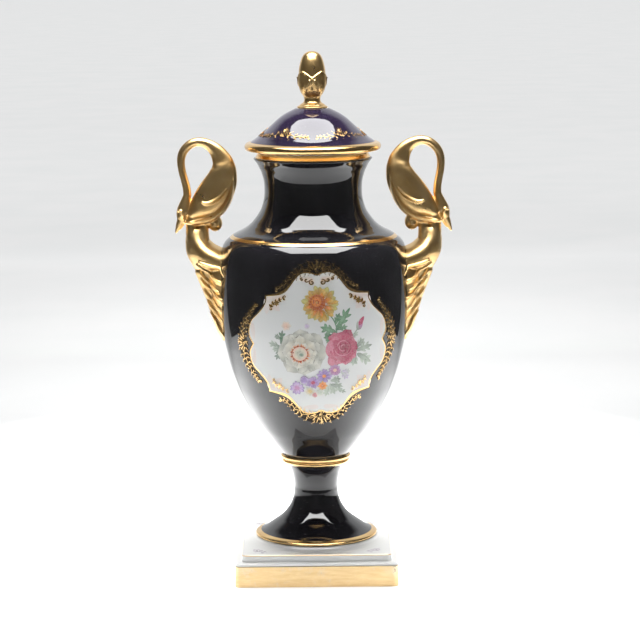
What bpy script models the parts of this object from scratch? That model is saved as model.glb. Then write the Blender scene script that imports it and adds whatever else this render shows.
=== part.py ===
"""Lidded porcelain mantel urn with gilt swan handles, on a square plinth.

Seven pieces: plinth, pedestal foot, hollow body, two luted handles, lid and finial.
Metres, +Z up. The origin is the middle of the plinth's underside. +X runs through
the right-hand handle, and the painted front faces -Y.
"""

import math

import bmesh
import bpy
from mathutils import Matrix, Vector

# Driving dimensions, metres.
TOP = 0.4200                 # overall height
GAP = 0.0003                 # left between pieces that touch
SIDES = 32                   # facets round a turned piece

SLAB_HALF = 0.06475          # half the side of the lower slab
SLAB_TOP = 0.0193
STEP_HALF = 0.0595           # half the side of the upper slab
STEP_TOP = 0.0250
SLAB_CORNER = 0.0040         # rounding of the slabs' upright corners
SLAB_EDGE = 0.0013           # rounding of the slabs' top edges
PLINTH_WALL = 0.0065
BOSS_TOP = 0.0285            # round seat that the foot stands on
VENT_RADIUS = 0.0200         # firing vent between the plinth and the foot

FOOT_WALL = 0.0048
FOOT_TOP = 0.0917            # where the foot meets the body

BODY_BOTTOM = FOOT_TOP + GAP
BODY_WALL = 0.0052
BODY_FLOOR = 0.0085          # thickness of the floor inside
MOUTH_TOP = 0.3405
MOUTH_OUTER = 0.0432
MOUTH_INNER = 0.0372
MOUTH_DEPTH = 0.0120         # straight run inside the mouth, for the lid's flange

LID_BEARING = MOUTH_TOP + GAP
LID_WALL = 0.0046
LID_SEAT = 0.3750            # flat under the finial
FLANGE_OUTER = MOUTH_INNER - 0.0012
FLANGE_WALL = 0.0036
FLANGE_DEPTH = 0.0100

FINIAL_BOTTOM = LID_SEAT + GAP
SEPALS = 4
SEPAL_DEPTH = 0.0009

HANDLE_SIDES = 12
LEAN_FROM = 0.2850           # height above which each handle leans
LEAN_TO = 0.3520
LEAN = {"swan_handle_left": 0.0022, "swan_handle_right": -0.0022}

# Turned outlines as (radius, height) in metres.
BODY_RING = [(0.0274, BODY_BOTTOM), (0.0281, 0.0932), (0.0279, 0.0948)]
BELLY = [
    (0.0268, 0.0958), (0.0378, 0.1095), (0.0469, 0.1228), (0.0561, 0.1393),
    (0.0634, 0.1557), (0.0686, 0.1719), (0.0735, 0.1945), (0.0762, 0.2260),
    (0.0760, 0.2470), (0.0738, 0.2625), (0.0704, 0.2692), (0.0655, 0.2731),
]
NECK = [
    (0.0576, 0.2778), (0.0512, 0.2823), (0.0463, 0.2876), (0.0413, 0.2963),
    (0.0391, 0.3080), (0.0397, 0.3180), (0.0424, 0.3270), (0.0474, 0.3347),
]
LIP = [(0.0474, 0.3356), (0.0458, 0.3364), (0.0450, 0.3386),
       (MOUTH_OUTER, MOUTH_TOP)]
FLARE = [
    (0.0450, 0.0323), (0.0378, 0.0366), (0.0300, 0.0422), (0.0227, 0.0501),
    (0.0186, 0.0592), (0.0176, 0.0690), (0.0190, 0.0775), (0.0246, 0.0877),
]
DOME = [
    (0.0506, 0.3478), (0.0456, 0.3511), (0.0410, 0.3546), (0.0352, 0.3597),
    (0.0299, 0.3646), (0.0262, 0.3678), (0.0220, 0.3706), (0.0170, 0.3733),
    (0.0128, LID_SEAT),
]
COLLAR = [(0.0120, FINIAL_BOTTOM), (0.0121, 0.3762), (0.0092, 0.3782),
          (0.0068, 0.3800), (0.0064, 0.3822)]
BUD = [
    (0.0070, 0.3845), (0.0092, 0.3878), (0.0105, 0.3920), (0.0112, 0.3970),
    (0.0110, 0.4020), (0.0104, 0.4075), (0.0091, 0.4128), (0.0065, 0.4169),
    (0.0034, 0.4192), (0.0, TOP),
]

# The swan's neck and body in the handle's plane: distance out from the urn's axis,
# height, half width across the path, half thickness. It runs from the head, over
# the arch and down into the body.
SWAN = [
    (0.0999, 0.3055, 0.0033, 0.0036), (0.1003, 0.3120, 0.0033, 0.0035),
    (0.1016, 0.3185, 0.0032, 0.0035), (0.1034, 0.3260, 0.0032, 0.0035),
    (0.1037, 0.3345, 0.0033, 0.0035), (0.1012, 0.3418, 0.0035, 0.0037),
    (0.0955, 0.3473, 0.0036, 0.0038), (0.0885, 0.3490, 0.0036, 0.0040),
    (0.0810, 0.3468, 0.0043, 0.0044), (0.0750, 0.3416, 0.0059, 0.0052),
    (0.0710, 0.3344, 0.0079, 0.0066), (0.0696, 0.3260, 0.0102, 0.0080),
    (0.0720, 0.3170, 0.0126, 0.0090), (0.0770, 0.3085, 0.0138, 0.0094),
    (0.0840, 0.3010, 0.0126, 0.0090), (0.0905, 0.2955, 0.0098, 0.0076),
    (0.0958, 0.2915, 0.0064, 0.0056), (0.0998, 0.2888, 0.0038, 0.0042),
]
HEAD = [
    (0.0999, 0.3068, 0.0030, 0.0033), (0.1018, 0.3000, 0.0045, 0.0048),
    (0.1042, 0.2925, 0.0054, 0.0056), (0.1056, 0.2865, 0.0044, 0.0048),
    (0.1076, 0.2825, 0.0026, 0.0032), (0.1094, 0.2798, 0.0016, 0.0022),
    (0.1106, 0.2780, 0.0006, 0.0010),
]
STEM = [
    (0.0945, 0.2920, 0.0060, 0.0050), (0.0940, 0.2830, 0.0086, 0.0064),
    (0.0937, 0.2750, 0.0094, 0.0072), (0.0930, 0.2680, 0.0100, 0.0090),
    (0.0905, 0.2600, 0.0105, 0.0100),
]
VOLUTE = (0.0785, 0.2822)    # centre of the curl under the swan's breast
VOLUTE_RADIUS = 0.0056
VOLUTE_HALF = 0.0066
CURL = [
    (0.0940, 0.2850, 0.0050, 0.0056), (0.0880, 0.2846, 0.0052, 0.0058),
    (0.0830, 0.2838, 0.0048, 0.0058), (0.0790, 0.2826, 0.0036, 0.0050),
]
# The acanthus leaf that holds the handle to the body: height of the leaf's edge,
# its spine's distance from the axis, and half its width measured round the body.
LEAF = [
    (0.2615, 0.0820, 0.0080), (0.2608, 0.1010, 0.0190), (0.2590, 0.1025, 0.0290),
    (0.2555, 0.1027, 0.0345), (0.2525, 0.1020, 0.0220), (0.2440, 0.0995, 0.0300),
    (0.2415, 0.0986, 0.0210), (0.2350, 0.0959, 0.0275), (0.2325, 0.0945, 0.0185),
    (0.2225, 0.0891, 0.0260), (0.2190, 0.0872, 0.0160), (0.2045, 0.0815, 0.0205),
    (0.2010, 0.0809, 0.0125), (0.1935, 0.0786, 0.0150), (0.1912, 0.0765, 0.0090),
]
LEAF_DROOP = 0.0060          # how far its edge hangs below its spine
LEAF_EDGE = 0.0016           # how far the leaf's edge stands off the body
LEAF_INSIDE = 0.0030         # how far the uncut leaf reaches into the body


def clear_scene():
    for item in list(bpy.data.objects):
        bpy.data.objects.remove(item, do_unlink=True)


def principled(name, color, roughness, metallic):
    material = bpy.data.materials.new(name)
    material.use_nodes = True
    shader = material.node_tree.nodes["Principled BSDF"]
    shader.inputs["Base Color"].default_value = (*color, 1.0)
    shader.inputs["Roughness"].default_value = roughness
    shader.inputs["Metallic"].default_value = metallic
    material.diffuse_color = (*color, 1.0)
    return material


def place(bm, name, material=None):
    """Makes an object from a bmesh: a node, or a helper if it has no material."""
    bmesh.ops.recalc_face_normals(bm, faces=bm.faces)
    mesh = bpy.data.meshes.new(name)
    bm.to_mesh(mesh)
    bm.free()
    item = bpy.data.objects.new(name, mesh)
    bpy.context.collection.objects.link(item)
    if material:
        mesh.materials.append(material)
        mesh.shade_smooth()
        mesh.set_sharp_from_angle(angle=math.radians(40))
    else:
        item.hide_render = True
        item.display_type = "WIRE"
    return item


def boolean(item, other, operation):
    modifier = item.modifiers.new(f"{operation} {other.name}", "BOOLEAN")
    modifier.operation = operation
    modifier.object = other


def inset(outline, distance):
    """The outline moved in by a wall's thickness, square to itself."""
    points = [Vector(point) for point in outline]
    moved = []
    for index, point in enumerate(points):
        after = points[min(index + 1, len(points) - 1)]
        along = (after - points[max(index - 1, 0)]).normalized()
        moved.append(point + distance * Vector((-along.y, along.x)))
    return moved


def arc(center, radius, start, end, steps):
    """Points on an arc in the (radius, height) plane, angles in degrees."""
    points = []
    for step in range(steps + 1):
        angle = math.radians(start + (end - start) * step / steps)
        points.append((center[0] + radius * math.cos(angle),
                       center[1] + radius * math.sin(angle)))
    return points


def turn(outline, sides=SIDES):
    """Spins a closed outline of (radius, height) points round the Z axis."""
    bm = bmesh.new()
    verts = [bm.verts.new((radius, 0.0, height)) for radius, height in outline]
    edges = [bm.edges.new(pair) for pair in zip(verts, verts[1:] + verts[:1])]
    bmesh.ops.spin(bm, geom=verts + edges, cent=(0, 0, 0), axis=(0, 0, 1),
                   angle=math.tau, steps=sides, use_merge=True)
    bmesh.ops.remove_doubles(bm, verts=bm.verts, dist=1e-6)
    bmesh.ops.dissolve_degenerate(bm, edges=bm.edges, dist=1e-6)
    return bm


def make_body(material):
    floor = BODY_BOTTOM + BODY_FLOOR
    inner = inset(BELLY[2::2] + NECK[1:7:2], BODY_WALL)
    outline = [
        (0.0, BODY_BOTTOM), *BODY_RING, *BELLY, *NECK, *LIP,
        (MOUTH_INNER, MOUTH_TOP), (MOUTH_INNER, MOUTH_TOP - MOUTH_DEPTH),
        *reversed(inner), (0.0250, floor + 0.0030), (0.0, floor),
    ]
    return place(turn(outline), "urn_body", material)


def make_foot(material):
    """The foot is open below, over the plinth's vent."""
    under = BOSS_TOP + GAP
    rim = arc((0.0478, 0.0305), 0.0016, -70, 50, 2)
    bead = arc((0.0256, 0.0899), 0.0016, -60, 50, 2)
    hollow = inset(FLARE[:-1], FOOT_WALL)
    roof = FOOT_TOP - FOOT_WALL
    outline = [
        *rim, *FLARE, *bead, (0.0258, FOOT_TOP), (0.0, FOOT_TOP), (0.0, roof),
        (0.0130, roof - 0.0020), *reversed(hollow), (0.0385, under),
        (0.0470, under),
    ]
    return place(turn(outline), "pedestal_foot", material)


def slab(half, bottom, top):
    """A square block with rounded upright corners and a soft top edge."""
    bm = bmesh.new()
    size = Matrix.Diagonal((2 * half, 2 * half, top - bottom, 1.0))
    lift = Matrix.Translation((0.0, 0.0, (bottom + top) / 2))
    bmesh.ops.create_cube(bm, size=1.0, matrix=lift @ size)
    upright = [edge for edge in bm.edges
               if abs(edge.verts[0].co.z - edge.verts[1].co.z) > (top - bottom) / 2]
    bmesh.ops.bevel(bm, geom=upright, offset=SLAB_CORNER, offset_type="OFFSET",
                    affect="EDGES", segments=3, profile=0.5, material=-1)
    upper = [edge for edge in bm.edges
             if all(vert.co.z > top - 1e-6 for vert in edge.verts)]
    bmesh.ops.bevel(bm, geom=upper, offset=SLAB_EDGE, offset_type="OFFSET",
                    affect="EDGES", segments=2, profile=0.5, material=-1)
    return bm


def make_plinth(material):
    """Two slabs and a round seat in one casting, hollow below and vented."""
    plinth = place(slab(SLAB_HALF, 0.0, SLAB_TOP), "plinth", material)
    step = place(slab(STEP_HALF, SLAB_TOP / 2, STEP_TOP), "upper slab")
    seat = place(turn([
        (0.0, SLAB_TOP / 2), (0.0570, SLAB_TOP / 2), (0.0570, STEP_TOP - 0.0002),
        (0.0540, STEP_TOP + 0.0006), (0.0515, STEP_TOP + 0.0018),
        (0.0498, BOSS_TOP), (0.0, BOSS_TOP),
    ]), "foot seat")
    boolean(plinth, step, "UNION")
    boolean(plinth, seat, "UNION")
    lower = slab(SLAB_HALF - PLINTH_WALL, -SLAB_TOP, SLAB_TOP - PLINTH_WALL)
    upper = slab(STEP_HALF - PLINTH_WALL, -SLAB_TOP, STEP_TOP - PLINTH_WALL)
    vent = turn([(0.0, 0.0), (VENT_RADIUS, 0.0), (VENT_RADIUS, 2 * BOSS_TOP),
                 (0.0, 2 * BOSS_TOP)], SIDES // 2)
    for name, bm in (("lower hollow", lower), ("upper hollow", upper), ("vent", vent)):
        boolean(plinth, place(bm, name), "DIFFERENCE")
    return plinth


def make_lid(material):
    rim = arc((0.0512, 0.3448), 0.0033, -115, 95, 6)
    inner = inset(DOME[1::2], LID_WALL)
    flange_bottom = LID_BEARING - FLANGE_DEPTH
    flange_inner = FLANGE_OUTER - FLANGE_WALL
    outline = [
        (0.0, LID_SEAT), *reversed(DOME), *reversed(rim), (0.0460, 0.3416),
        (0.0458, LID_BEARING), (FLANGE_OUTER, LID_BEARING),
        (FLANGE_OUTER, flange_bottom), (flange_inner, flange_bottom),
        (flange_inner, inner[1].y - 0.0030),
        *[point for point in inner if point.x < flange_inner - 0.0010],
        (0.0, LID_SEAT - LID_WALL),
    ]
    return place(turn(outline), "lid", material)


def make_finial(material):
    """A bud half wrapped in sepals, whose ridges swell round it."""
    outline = [(0.0, FINIAL_BOTTOM), *COLLAR, *BUD]
    bm = turn(outline, 5 * SEPALS)
    low = BUD[0][1]
    high = BUD[4][1]
    for vert in bm.verts:
        share = (vert.co.z - low) / (high - low)
        if 0.0 < share <= 1.0:
            angle = math.atan2(vert.co.y, vert.co.x) * SEPALS
            swell = SEPAL_DEPTH * math.sin(math.pi * share) * math.cos(angle)
            radius = math.hypot(vert.co.x, vert.co.y)
            vert.co.x *= 1 + swell / radius
            vert.co.y *= 1 + swell / radius
    return place(bm, "finial", material)


def loft(sections, sides=HANDLE_SIDES):
    """A closed skin over ellipses set square to their path in the XZ plane."""
    bm = bmesh.new()
    loops = []
    last = len(sections) - 1
    for index, (out, height, half_width, half_depth) in enumerate(sections):
        before = sections[max(index - 1, 0)]
        after = sections[min(index + 1, last)]
        along = Vector((after[0] - before[0], 0.0, after[1] - before[1])).normalized()
        across = along.cross(Vector((0.0, 1.0, 0.0)))
        turned = Matrix((across * half_width, Vector((0.0, half_depth, 0.0)),
                         along)).transposed().to_4x4()
        turned.translation = (out, 0.0, height)
        ring = bmesh.ops.create_circle(bm, cap_ends=index in (0, last),
                                       segments=sides, radius=1.0, matrix=turned)
        loops.append(set(ring["verts"]))
    for lower, upper in zip(loops, loops[1:]):
        edges = [edge for edge in bm.edges
                 if set(edge.verts) <= lower or set(edge.verts) <= upper]
        edges = [edge for edge in edges if len(edge.link_faces) < 2]
        bmesh.ops.bridge_loops(bm, edges=edges)
    return bm


def body_radius(height):
    """The body's outer radius at a height, read off its outline."""
    outline = BELLY + NECK
    for (radius, low), (next_radius, high) in zip(outline, outline[1:]):
        if low <= height <= high:
            share = (height - low) / (high - low)
            return radius + share * (next_radius - radius)
    raise ValueError(f"no body at {height}")


def make_leaf():
    """The leaf as drooping rings: a swelling front, and a back inside the body."""
    bm = bmesh.new()
    rings = []
    across = [-1.0, -0.8, -0.5, 0.0, 0.5, 0.8, 1.0]
    for edge_height, spine, half_width in LEAF:
        droop = LEAF_DROOP * (edge_height - LEAF[-1][0]) / (LEAF[0][0] - LEAF[-1][0])
        ring = []
        for share in across:
            height = edge_height + droop * (1 - share * share)
            wall = body_radius(height)
            swell = (1 - share * share) ** 1.5
            radius = wall + LEAF_EDGE + (spine - wall - LEAF_EDGE) * swell
            angle = share * half_width / wall
            ring.append((radius * math.cos(angle), radius * math.sin(angle), height))
        for share in (1.0, 0.0, -1.0):
            height = edge_height + droop * (1 - share * share)
            radius = body_radius(height) - LEAF_INSIDE
            angle = share * half_width / radius
            ring.append((radius * math.cos(angle), radius * math.sin(angle), height))
        rings.append([bm.verts.new(point) for point in ring])
    bm.faces.new(rings[0])
    bm.faces.new(rings[-1])
    for upper, lower in zip(rings, rings[1:]):
        for index, vert in enumerate(upper):
            after = (index + 1) % len(upper)
            bm.faces.new((vert, upper[after], lower[after], lower[index]))
    return bm


def lean(bm, amount):
    for vert in bm.verts:
        share = (vert.co.z - LEAN_FROM) / (LEAN_TO - LEAN_FROM)
        vert.co.x += amount * max(share, 0.0)


def make_handle(name, side, material):
    """One handle; side is 1 for +X and -1 for -X."""
    volute = bmesh.new()
    bmesh.ops.create_uvsphere(
        volute, u_segments=HANDLE_SIDES, v_segments=8, radius=1.0,
        matrix=Matrix.Translation((VOLUTE[0], 0.0, VOLUTE[1]))
        @ Matrix.Diagonal((VOLUTE_RADIUS, VOLUTE_HALF, VOLUTE_RADIUS, 1.0)))
    forms = [("swan", loft(SWAN)), ("head", loft(HEAD, 9)), ("stem", loft(STEM, 11)),
             ("curl", loft(CURL, 9)), ("volute", volute), ("leaf", make_leaf())]
    placed = []
    for form, bm in forms:
        lean(bm, LEAN[name])
        bmesh.ops.scale(bm, vec=(side, 1.0, 1.0), verts=bm.verts)
        first = form == "swan"
        placed.append(place(bm, name if first else f"{name} {form}",
                            material if first else None))
    handle = placed[0]
    for form in placed[1:]:
        boolean(handle, form, "UNION")
    clearance = inset(BODY_RING + BELLY + NECK, -GAP)
    cutter = turn([(0.0, BODY_BOTTOM), *clearance, (0.0, NECK[-1][1])])
    boolean(handle, place(cutter, f"{name} seat"), "DIFFERENCE")
    return handle


def main():
    clear_scene()
    cobalt = principled("cobalt glaze", (0.018, 0.014, 0.045), 0.06, 0.0)
    white = principled("white porcelain", (0.80, 0.80, 0.78), 0.15, 0.0)
    gold = principled("burnished gold", (0.72, 0.48, 0.19), 0.24, 1.0)
    make_plinth(white)
    make_foot(cobalt)
    make_body(cobalt)
    make_handle("swan_handle_left", -1, gold)
    make_handle("swan_handle_right", 1, gold)
    make_lid(cobalt)
    make_finial(gold)


if __name__ == "__main__":
    main()
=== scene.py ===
"""Mantel urn: the finished surfaces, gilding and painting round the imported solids.

Metres, +Z up. The origin is the middle of the plinth's underside, +X runs through
the right-hand handle and the painted front faces -Y.
"""

import math
import random

import bmesh
import bpy
from bpy.props import FloatProperty, FloatVectorProperty, PointerProperty
from mathutils import Matrix, Vector
from mathutils.bvhtree import BVHTree


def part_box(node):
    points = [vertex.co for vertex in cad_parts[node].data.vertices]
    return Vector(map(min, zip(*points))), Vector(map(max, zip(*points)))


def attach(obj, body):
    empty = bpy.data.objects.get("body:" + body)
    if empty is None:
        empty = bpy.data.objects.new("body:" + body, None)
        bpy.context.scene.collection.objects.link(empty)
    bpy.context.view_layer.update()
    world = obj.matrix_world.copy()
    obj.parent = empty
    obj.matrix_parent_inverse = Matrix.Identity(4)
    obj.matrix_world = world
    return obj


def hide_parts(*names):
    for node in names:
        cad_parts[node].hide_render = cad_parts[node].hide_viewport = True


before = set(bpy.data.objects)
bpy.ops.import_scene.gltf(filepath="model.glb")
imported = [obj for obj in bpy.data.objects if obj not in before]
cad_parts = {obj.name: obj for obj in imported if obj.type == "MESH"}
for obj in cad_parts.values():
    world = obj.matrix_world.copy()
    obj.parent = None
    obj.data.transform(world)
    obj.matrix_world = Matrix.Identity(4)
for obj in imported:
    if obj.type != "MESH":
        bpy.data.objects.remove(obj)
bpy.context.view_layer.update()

bl_info = {
    "name": "Mantel urn",
    "version": (1, 0, 0),
    "blender": (4, 5, 0),
    "location": "3D View > Sidebar > Mantel urn",
    "description": "Builds a lidded porcelain mantel urn with gilt swan handles",
    "category": "Add Mesh",
}

BODY = "root"
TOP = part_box("finial")[1].z
CORNERS = [(x, y) for x in (1, -1) for y in (1, -1)]

# Turned work.
SIDES = 160                  # facets round a turned piece
GAP = 0.0003                 # between neighbouring pieces
BODY_WALL = 0.0052
FOOT_WALL = 0.0048
LID_WALL = 0.0046
BODY_BOTTOM = 0.0920
FOOT_TOP = 0.0917
MOUTH_TOP = 0.3405
MOUTH_INNER = 0.0372
BODY_FLOOR = BODY_BOTTOM + 0.0085
FOOT_ROOF = FOOT_TOP - FOOT_WALL
FOOT_HOLLOW = 0.0385         # the hollow's radius at the foot's underside
LID_SEAT = 0.3750
LID_BEARING = MOUTH_TOP + GAP
CEILING_RADIUS = 0.0314      # where the lid's ceiling meets its flange

# Outlines as (radius, height), bottom to top.
BODY_RING = [(0.0270, 0.0921), (0.0279, 0.0925), (0.0282, 0.0934), (0.0281, 0.0945),
             (0.0274, 0.0955)]
BELLY = [
    (0.0273, 0.0961), (0.0314, 0.1011), (0.0353, 0.1061), (0.0390, 0.1111),
    (0.0427, 0.1161), (0.0469, 0.1228), (0.0507, 0.1294), (0.0544, 0.1360),
    (0.0578, 0.1426), (0.0609, 0.1492), (0.0634, 0.1557), (0.0663, 0.1638),
    (0.0686, 0.1719), (0.0706, 0.1801), (0.0724, 0.1882), (0.0744, 0.2000),
    (0.0757, 0.2140), (0.0762, 0.2290), (0.0761, 0.2420), (0.0754, 0.2540),
    (0.0742, 0.2612), (0.0723, 0.2668), (0.0697, 0.2703), (0.0671, 0.2723),
]
SHOULDER_LINE = [(0.0671, 0.2723), (0.0657, 0.2735), (0.0644, 0.2744)]
NECK = [
    (0.0644, 0.2744), (0.0615, 0.2760), (0.0576, 0.2779), (0.0538, 0.2802),
    (0.0512, 0.2823), (0.0492, 0.2842), (0.0463, 0.2878), (0.0440, 0.2911),
    (0.0420, 0.2946), (0.0403, 0.2996), (0.0393, 0.3045), (0.0390, 0.3095),
    (0.0392, 0.3150), (0.0399, 0.3193), (0.0414, 0.3243), (0.0429, 0.3276),
    (0.0446, 0.3310), (0.0466, 0.3338), (0.0473, 0.3347),
]
LIP = [(0.0473, 0.3347), (0.0474, 0.3352), (0.0470, 0.3358), (0.0461, 0.3363)]
MOUTH_BAND = [(0.0461, 0.3363), (0.0457, 0.3366), (0.0449, 0.3380),
              (0.0440, 0.3394), (0.0434, 0.3401), (0.0424, MOUTH_TOP)]
BORE = [(0.0424, MOUTH_TOP), (0.0382, MOUTH_TOP), (0.0374, 0.3399),
        (MOUTH_INNER, 0.3390), (MOUTH_INNER, 0.3290)]
HOLLOW_FLOOR = [(0.0270, BODY_FLOOR + 0.0030), (0.0180, BODY_FLOOR + 0.0006),
                (0.0, BODY_FLOOR)]
FOOT_RING = [(0.0456, 0.0289), (0.0484, 0.0289), (0.0492, 0.0294), (0.0494, 0.0300),
             (0.0491, 0.0307), (0.0482, 0.0313), (0.0466, 0.0319), (0.0450, 0.0324)]
FLARE = [
    (0.0450, 0.0324), (0.0412, 0.0344), (0.0378, 0.0367), (0.0340, 0.0394),
    (0.0316, 0.0411), (0.0292, 0.0429), (0.0254, 0.0466), (0.0227, 0.0501),
    (0.0206, 0.0536), (0.0193, 0.0570), (0.0183, 0.0604), (0.0178, 0.0655),
    (0.0176, 0.0689), (0.0182, 0.0740), (0.0194, 0.0791), (0.0208, 0.0825),
    (0.0230, 0.0860), (0.0245, 0.0877),
]
FOOT_BEAD = [(0.0245, 0.0877), (0.0258, 0.0883), (0.0269, 0.0890), (0.0272, 0.0899),
             (0.0269, 0.0908), (0.0260, 0.0914), (0.0252, FOOT_TOP)]
LID_RIM = [
    (0.0460, 0.3414), (0.0487, 0.3416), (0.0512, 0.3415), (0.0531, 0.3420),
    (0.0542, 0.3434), (0.0545, 0.3448), (0.0541, 0.3463), (0.0530, 0.3474),
    (0.0518, 0.3479), (0.0507, 0.3480), (0.0496, 0.3485),
]
DOME = [
    (0.0496, 0.3485), (0.0485, 0.3492), (0.0456, 0.3511), (0.0432, 0.3529),
    (0.0410, 0.3546), (0.0370, 0.3580), (0.0333, 0.3614), (0.0299, 0.3646),
    (0.0262, 0.3678), (0.0220, 0.3706), (0.0186, 0.3724), (0.0150, 0.3741),
    (0.0128, LID_SEAT),
]
FLANGE = [(0.0360, LID_BEARING), (0.0360, 0.3316), (0.0352, 0.3308), (0.0332, 0.3308),
          (0.0324, 0.3316)]

# The plinth, as half sides and heights.
SLAB_HALF = 0.06475
SLAB_TOP = 0.0193
STEP_HALF = 0.0595
STEP_TOP = 0.0250
SLAB_CORNER = 0.0040
SLAB_SOFTENED = 0.0012       # how far each top edge is rounded
STEP_SOFTENED = 0.0011
RECESS_SOFTENED = 0.0010
PLINTH_WALL = 0.0065
BOSS_TOP = 0.0285
BOSS = [(0.0570, STEP_TOP - 0.0002), (0.0556, STEP_TOP + 0.0001),
        (0.0540, STEP_TOP + 0.0006), (0.0515, STEP_TOP + 0.0018),
        (0.0503, BOSS_TOP - 0.0006), (0.0494, BOSS_TOP)]
VENT_RADIUS = 0.0200
TOP_PAINTED_SHADE = 0.66              # the plinth's level tops, painted darker than its sides as painted shade
GILT_BAND_TOP = 0.0166       # the worn gilt band round the lower slab
GILT_LINE = 0.00030          # half the gilt line along the upper slab's top edge
SPRIG_STEM = [(0.0510, 0.0402), (0.0482, 0.0432), (0.0468, 0.0470), (0.0430, 0.0492),
              (0.0396, 0.0508)]
SPRIG_CURLS = [          # middle, radius, first angle, turns
    ((0.0448, 0.0452), 0.0020, 0.6, 1.1), ((0.0496, 0.0452), 0.0016, 3.4, -1.0),
    ((0.0432, 0.0522), 0.0014, 4.6, 1.0)]

# The bud finial.
COLLAR = [(0.0120, 0.3753), (0.0122, 0.3757), (0.0121, 0.3762), (0.0107, 0.3770),
          (0.0092, 0.3782), (0.0077, 0.3791), (0.0069, 0.3800), (0.0065, 0.3812),
          (0.0064, 0.3822)]
BUD = [
    (0.0064, 0.3822), (0.0066, 0.3834), (0.0071, 0.3846), (0.0081, 0.3861),
    (0.0092, 0.3880), (0.0101, 0.3902), (0.0107, 0.3926), (0.0110, 0.3955),
    (0.0109, 0.3990), (0.0107, 0.4025), (0.0103, 0.4062), (0.0096, 0.4100),
    (0.0085, 0.4138), (0.0068, 0.4170), (0.0046, 0.4189), (0.0024, 0.4198),
    (0.0, TOP),
]
SEPAL_TIP = 0.4046           # a broad sepal's lip, at its middle,
SEPAL_DROP = 0.0052          # and how far it drops to the sides
SEPAL_FOOT = 0.3895
SMALL_FOOT = 0.3905          # the small leaf between two sepals
SMALL_TIP = 0.3990
NICK = 0.3908                # the nick under the small leaf

# The swan, in the handle's own plane: distance out from the urn's axis, height,
# half width across the path and half thickness front to back.
HANDLE_SIDES = 28
SWAN = [
    (0.0999, 0.3055, 0.0033, 0.0036), (0.1003, 0.3120, 0.0032, 0.0035),
    (0.1016, 0.3185, 0.0031, 0.0035), (0.1032, 0.3260, 0.0031, 0.0035),
    (0.1036, 0.3345, 0.0033, 0.0036), (0.1012, 0.3416, 0.0035, 0.0038),
    (0.0955, 0.3470, 0.0036, 0.0039), (0.0885, 0.3488, 0.0037, 0.0040),
    (0.0812, 0.3466, 0.0044, 0.0042), (0.0752, 0.3416, 0.0060, 0.0046),
    (0.0712, 0.3348, 0.0080, 0.0054), (0.0700, 0.3300, 0.0093, 0.0072),
    (0.0701, 0.3250, 0.0107, 0.0082), (0.0723, 0.3170, 0.0127, 0.0083),
    (0.0772, 0.3085, 0.0138, 0.0084), (0.0840, 0.3010, 0.0127, 0.0083),
    (0.0905, 0.2955, 0.0098, 0.0079), (0.0958, 0.2915, 0.0064, 0.0068),
    (0.0992, 0.2893, 0.0036, 0.0050),
]
HEAD = [
    (0.0999, 0.3072, 0.0030, 0.0034), (0.1010, 0.3030, 0.0037, 0.0042),
    (0.1023, 0.2985, 0.0047, 0.0050), (0.1037, 0.2940, 0.0053, 0.0055),
    (0.1049, 0.2900, 0.0048, 0.0051), (0.1059, 0.2868, 0.0036, 0.0040),
]
UPPER_BILL = [
    (0.1050, 0.2890, 0.0036, 0.0040), (0.1066, 0.2850, 0.0031, 0.0036),
    (0.1080, 0.2816, 0.0025, 0.0029), (0.1094, 0.2784, 0.0016, 0.0020),
    (0.1104, 0.2758, 0.0007, 0.0010),
]
CHEEK_RIDGE = [(0.1086, 0.2934), (0.1064, 0.2944), (0.1047, 0.2928), (0.1041, 0.2888)]
LOWER_BILL = [(0.1028, 0.2886, 0.0020, 0.0034), (0.1040, 0.2854, 0.0019, 0.0029),
              (0.1054, 0.2822, 0.0015, 0.0022), (0.1072, 0.2788, 0.0009, 0.0013)]
TAIL_RIM = [
    (0.0616, 0.3240, 0.0008, 0.0064), (0.0630, 0.3150, 0.0015, 0.0092),
    (0.0656, 0.3050, 0.0023, 0.0112), (0.0702, 0.2970, 0.0028, 0.0122),
    (0.0762, 0.2910, 0.0029, 0.0122), (0.0832, 0.2872, 0.0027, 0.0112),
    (0.0912, 0.2851, 0.0023, 0.0094), (0.0985, 0.2845, 0.0018, 0.0070),
    (0.1030, 0.2848, 0.0011, 0.0044),
]
WING_RIDGE = [(0.0886, 0.3014), (0.0858, 0.3003), (0.0828, 0.3005), (0.0775, 0.3028),
              (0.0726, 0.3064), (0.0678, 0.3120)]
STEM = [
    (0.0955, 0.2925, 0.0050, 0.0050), (0.0972, 0.2860, 0.0048, 0.0058),
    (0.0976, 0.2800, 0.0048, 0.0066), (0.0975, 0.2745, 0.0050, 0.0080),
    (0.0966, 0.2690, 0.0052, 0.0090),
]
INNER_STEM = [
    (0.0880, 0.2925, 0.0044, 0.0048), (0.0885, 0.2860, 0.0044, 0.0052),
    (0.0886, 0.2800, 0.0045, 0.0058), (0.0884, 0.2750, 0.0046, 0.0070),
    (0.0880, 0.2700, 0.0046, 0.0080),
]
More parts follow.
